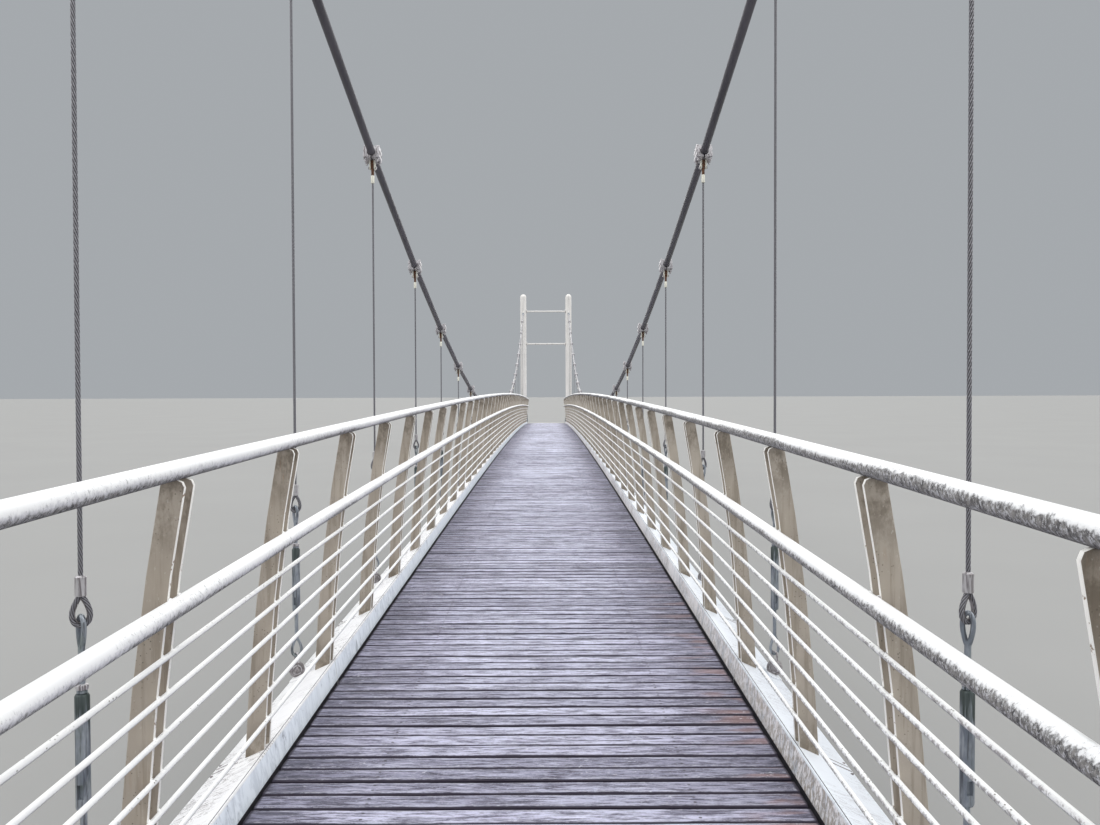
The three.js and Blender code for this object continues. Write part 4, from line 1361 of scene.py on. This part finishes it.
def add_anchor_bolt(mould, place):
    """A washer, a nut and the bolt's threaded end that stands out of it."""
    mould.add(turned([(0.022, 0), (0.022, 0.004)], 18) + place)
    mould.add(plate_rings(HEXAGON * 0.0175, 0.004, 0.018, 0.0015) + place)
    mould.add(turned([(0.009, 0.018), (0.009, 0.036), (0.0075, 0.038)], 12) + place)


def make_column(name, side, end):
    """Round tower column: a turned tube with a domed top, foot plate, bolts and cable ears."""
    radius = 0.1525
    foot, top = COLUMN_FOOT, COLUMN_TOP
    seat = foot + 0.025
    weld = (foot + top) / 2 + 0.37
    bead = [(-0.03, 0), (-0.008, 0), (-0.003, 0.0022), (0.003, 0.0022), (0.008, 0), (0.03, 0)]
    profile = [(0.178, foot + 0.024), (0.164, foot + 0.036), (radius, foot + 0.052)]
    profile += [(radius, z) for z in np.linspace(foot + 0.8, top - 0.8, 7)]
    profile += [(radius + out, weld + up) for up, out in bead]
    profile += [(radius, foot + 0.09), (radius, top - radius - 0.02)]
    profile.sort(key=lambda row: row[1])
    profile += [(radius * math.cos(a), top - radius + radius * math.sin(a))
                for a in np.radians(np.linspace(0, 84, 9))]
    centre = np.array([CABLE_X, end * HALF_SPAN, 0])
    mould = Mould(side)
    mould.add(turned(profile, 48) + centre)
    plate = tapered(-0.18, 0.18, 0.18, 0.18, 0.02, 4)
    mould.add(plate_rings(plate, foot, seat, 0.003) + centre)
    ear = rounded([(-EAR_REACH, -0.085), (-0.14, -0.1), (0.14, -0.1), (EAR_REACH, -0.085),
                   (EAR_REACH, 0.085), (0.14, 0.1), (-0.14, 0.1), (-EAR_REACH, 0.085)], 0.06, 5)
    mould.add(side_plate(ear, -0.015, 0.015, 0.002) + centre + (0, 0, CABLE_PIN_Z))
    mould.piece(f"{name}_tower", "white_paint", [PAINT_TOWER], [f"{name}_column"])
    mould = Mould(side)
    for x in (-0.145, 0.145):
        for y in (-0.145, 0.145):
            add_anchor_bolt(mould, centre + (x, y, seat))
    for direction in (-1, 1):
        pin = centre + (0, direction * (EAR_REACH - STAY_PIN_INSET), CABLE_PIN_Z)
        drop = STAY_SLOPE if direction == end else END_SLOPE
        add_socket(mould, pin, (0, direction, -drop))
    mould.piece(f"{name}_tower_fittings", "galvanised_steel", [ZINC])


def make_stay(name, side, end):
    """Stay behind the tower: rope between two sockets, and the foot with its gusset and bolts."""
    top = np.array([CABLE_X, end * (HALF_SPAN + EAR_REACH - STAY_PIN_INSET), CABLE_PIN_Z])
    towards = np.array([0, end, -STAY_SLOPE]) / math.hypot(1, STAY_SLOPE)
    floor = real_box(f"{name}_stay")[0][2] - CROWN
    rise = 0.16
    length = (top[2] - (floor + rise)) / -towards[2]
    pin = top + towards * length
    mould = Mould(side)
    line = np.linspace(0.4, length - 0.4, 12)[:, None] * towards + top
    mould.add(swept(line, circle(24, CABLE_RADIUS)))
    mould.piece(f"{name}_stay_rope", "wire_rope", [CABLE], [f"{name}_stay"])
    mould = Mould(side)
    add_socket(mould, pin, -towards)
    foot = np.array([CABLE_X, end * STAY_FOOT_Y, floor])
    plate = tapered(-0.25, 0.25, 0.15, 0.15, 0.02, 4)
    mould.add(plate_rings(plate, 0, FOOT_PLATE, 0.003) + foot)
    reach = pin[1] - foot[1]
    gusset = rounded([(-0.2, FOOT_PLATE - 0.004), (0.2, FOOT_PLATE - 0.004),
                      (reach + 0.07, rise + 0.045), (reach - 0.07, rise + 0.045)], 0.045, 6)
    mould.add(side_plate(gusset, -0.015, 0.015, 0.002) + foot)
    for x in (-0.11, 0.11):
        for y in (-0.2, 0, 0.2):
            add_anchor_bolt(mould, foot + (x, y, FOOT_PLATE))
    mould.piece(f"{name}_stay_foot", "galvanised_steel", [ZINC])


def make_crossbar(end_name, end, level, z):
    """Round crossbar with a flange at each end, bolted to the column: a profile turned on x."""
    mould = Mould()
    half = real_box(f"{end_name}_{level}_crossbar")[1][0]
    flange = [(0.1, 0.0), (0.1, 0.016), (0.096, 0.02), (0.052, 0.02), (0.042, 0.032),
              (BAR_RADIUS, 0.036), (BAR_RADIUS, 0.06)]
    profile = [(radius, x - half) for radius, x in flange]
    profile += [(BAR_RADIUS, x) for x in (-0.45, 0, 0.45)]
    profile += [(radius, half - x) for radius, x in flange[::-1]]
    centre = np.array([0, end * HALF_SPAN, z])
    mould.add(turned(profile, 32) @ laid_along_x() + centre)
    bolts = circle(6, 0.075, turn=np.pi / 6)
    for side in (-1, 1):
        places = np.column_stack([np.full(6, side * (half - 0.02)), bolts]) + centre
        mould.add(nut_rings(0.013, 0.011) @ laid_along_x(-side), at=places)
    mould.piece(f"{end_name}_{level}_bar", "white_paint", [PAINT_TOWER],
                [f"{end_name}_{level}_crossbar"])


def cast_block(name, node, outline):
    """Concrete block in a node's place: an outline of the distance from mid-span and height."""
    low, high = real_box(node)
    direction = np.sign(low[1])
    rings = side_plate(rounded(np.array(outline) * (direction, 1), 0.02), low[0], high[0], 0.02)
    mould = Mould()
    mould.add(rings - (0, 0, CROWN))
    mould.piece(name, "concrete", [CONCRETE], [node])


def make_concrete(end_name):
    """Abutment with its seat, and the two anchor blocks with a chamfer on the land side."""
    for kind in ("abutment", "left_anchor_block", "right_anchor_block"):
        node = f"{end_name}_{kind}"
        low, high = real_box(node)
        front, back = sorted([abs(low[1]), abs(high[1])])
        top = high[2]
        if kind == "abutment":
            seat, wall = COLUMN_FOOT + CROWN, 24.34
            outline = [(front, 0), (back, 0), (back, top), (wall, top), (wall, seat), (front, seat)]
            cast_block(f"{node}_block", node, outline)
        else:
            inner, shoulder = back - 0.3, top - 0.3
            outline = [(front, 0), (back, 0), (back, shoulder), (inner, top), (front, top)]
            cast_block(f"{node}_cast", node, outline)


# Stage, light and camera

EYE = (0.0295, -11.17, 1.3945)
LOOK_DOWN, LOOK_RIGHT, ROLL = 0.0201, 0.00285, -0.0033
FLOOR_REACH = 400


def set_stage():
    """A wide pale floor under the bridge."""
    mesh = bpy.data.meshes.new("studio_floor")
    corners = [(x * FLOOR_REACH, y * FLOOR_REACH, 0) for x, y in [(-1, -1), (1, -1), (1, 1), (-1, 1)]]
    mesh.from_pydata(corners, [], [(0, 1, 2, 3)])
    floor = bpy.data.objects.new("studio_floor", mesh)
    bpy.context.scene.collection.objects.link(floor)
    finish = Finish("floor_grey", 0.9)
    finish.colour(finish.blend(finish.noise(0.2), (0.27, 0.27, 0.265), (0.30, 0.30, 0.295)))
    mesh.materials.append(finish.material)


def set_light():
    """Even light from all round, with broad soft lights overhead, from each side and far ahead."""
    world = bpy.data.worlds.new("studio_light")
    world.use_nodes = True
    background = world.node_tree.nodes["Background"]
    background.inputs["Color"].default_value = (0.90, 0.95, 1.0, 1)
    background.inputs["Strength"].default_value = 0.42
    bpy.context.scene.world = world
    for name, strength, lean, heading in [
        ("overhead_light", 0.8, 10, 0), ("left_light", 1.9, 50, -70), ("right_light", 1.9, 50, 70),
        ("far_light", 0.9, 62, 180)
    ]:
        lamp = bpy.data.lights.new(name, "SUN")
        lamp.energy = strength
        lamp.angle = math.radians(55)
        lamp.color = (1.0, 0.99, 0.975)
        light = bpy.data.objects.new(name, lamp)
        light.rotation_euler = (math.radians(lean), 0, math.radians(heading))
        bpy.context.scene.collection.objects.link(light)
    bpy.context.scene.view_settings.view_transform = "Standard"


def set_camera():
    """Camera over the near end of the deck, at a walker's eye level."""
    data = bpy.data.cameras.new("walker_view")
    data.lens = 29.925
    data.sensor_width = 36
    data.clip_end = 500
    camera = bpy.data.objects.new("walker_view", data)
    turn = Matrix.Rotation(-LOOK_RIGHT, 4, "Z")
    turn = turn @ Matrix.Rotation(math.pi / 2 - LOOK_DOWN, 4, "X") @ Matrix.Rotation(ROLL, 4, "Z")
    camera.matrix_world = Matrix.Translation(EYE) @ turn
    bpy.context.scene.collection.objects.link(camera)
    bpy.context.scene.camera = camera


set_camera()
set_stage()
set_light()
lay_boards()
make_underframe()
for side_name, side in SIDES.items():
    for make in (make_kerb, make_flange_trim, make_posts, make_rails, make_welds, make_lugs,
                 make_fittings, make_ropes, make_thimbles, make_clamps, make_cable):
        make(side_name, side)
for end_name, end in ENDS.items():
    make_concrete(end_name)
    make_crossbar(end_name, end, "upper", UPPER_BAR_Z)
    make_crossbar(end_name, end, "lower", LOWER_BAR_Z)
    for side_name, side in SIDES.items():
        make_column(f"{end_name}_{side_name}", side, end)
        make_stay(f"{end_name}_{side_name}", side, end)
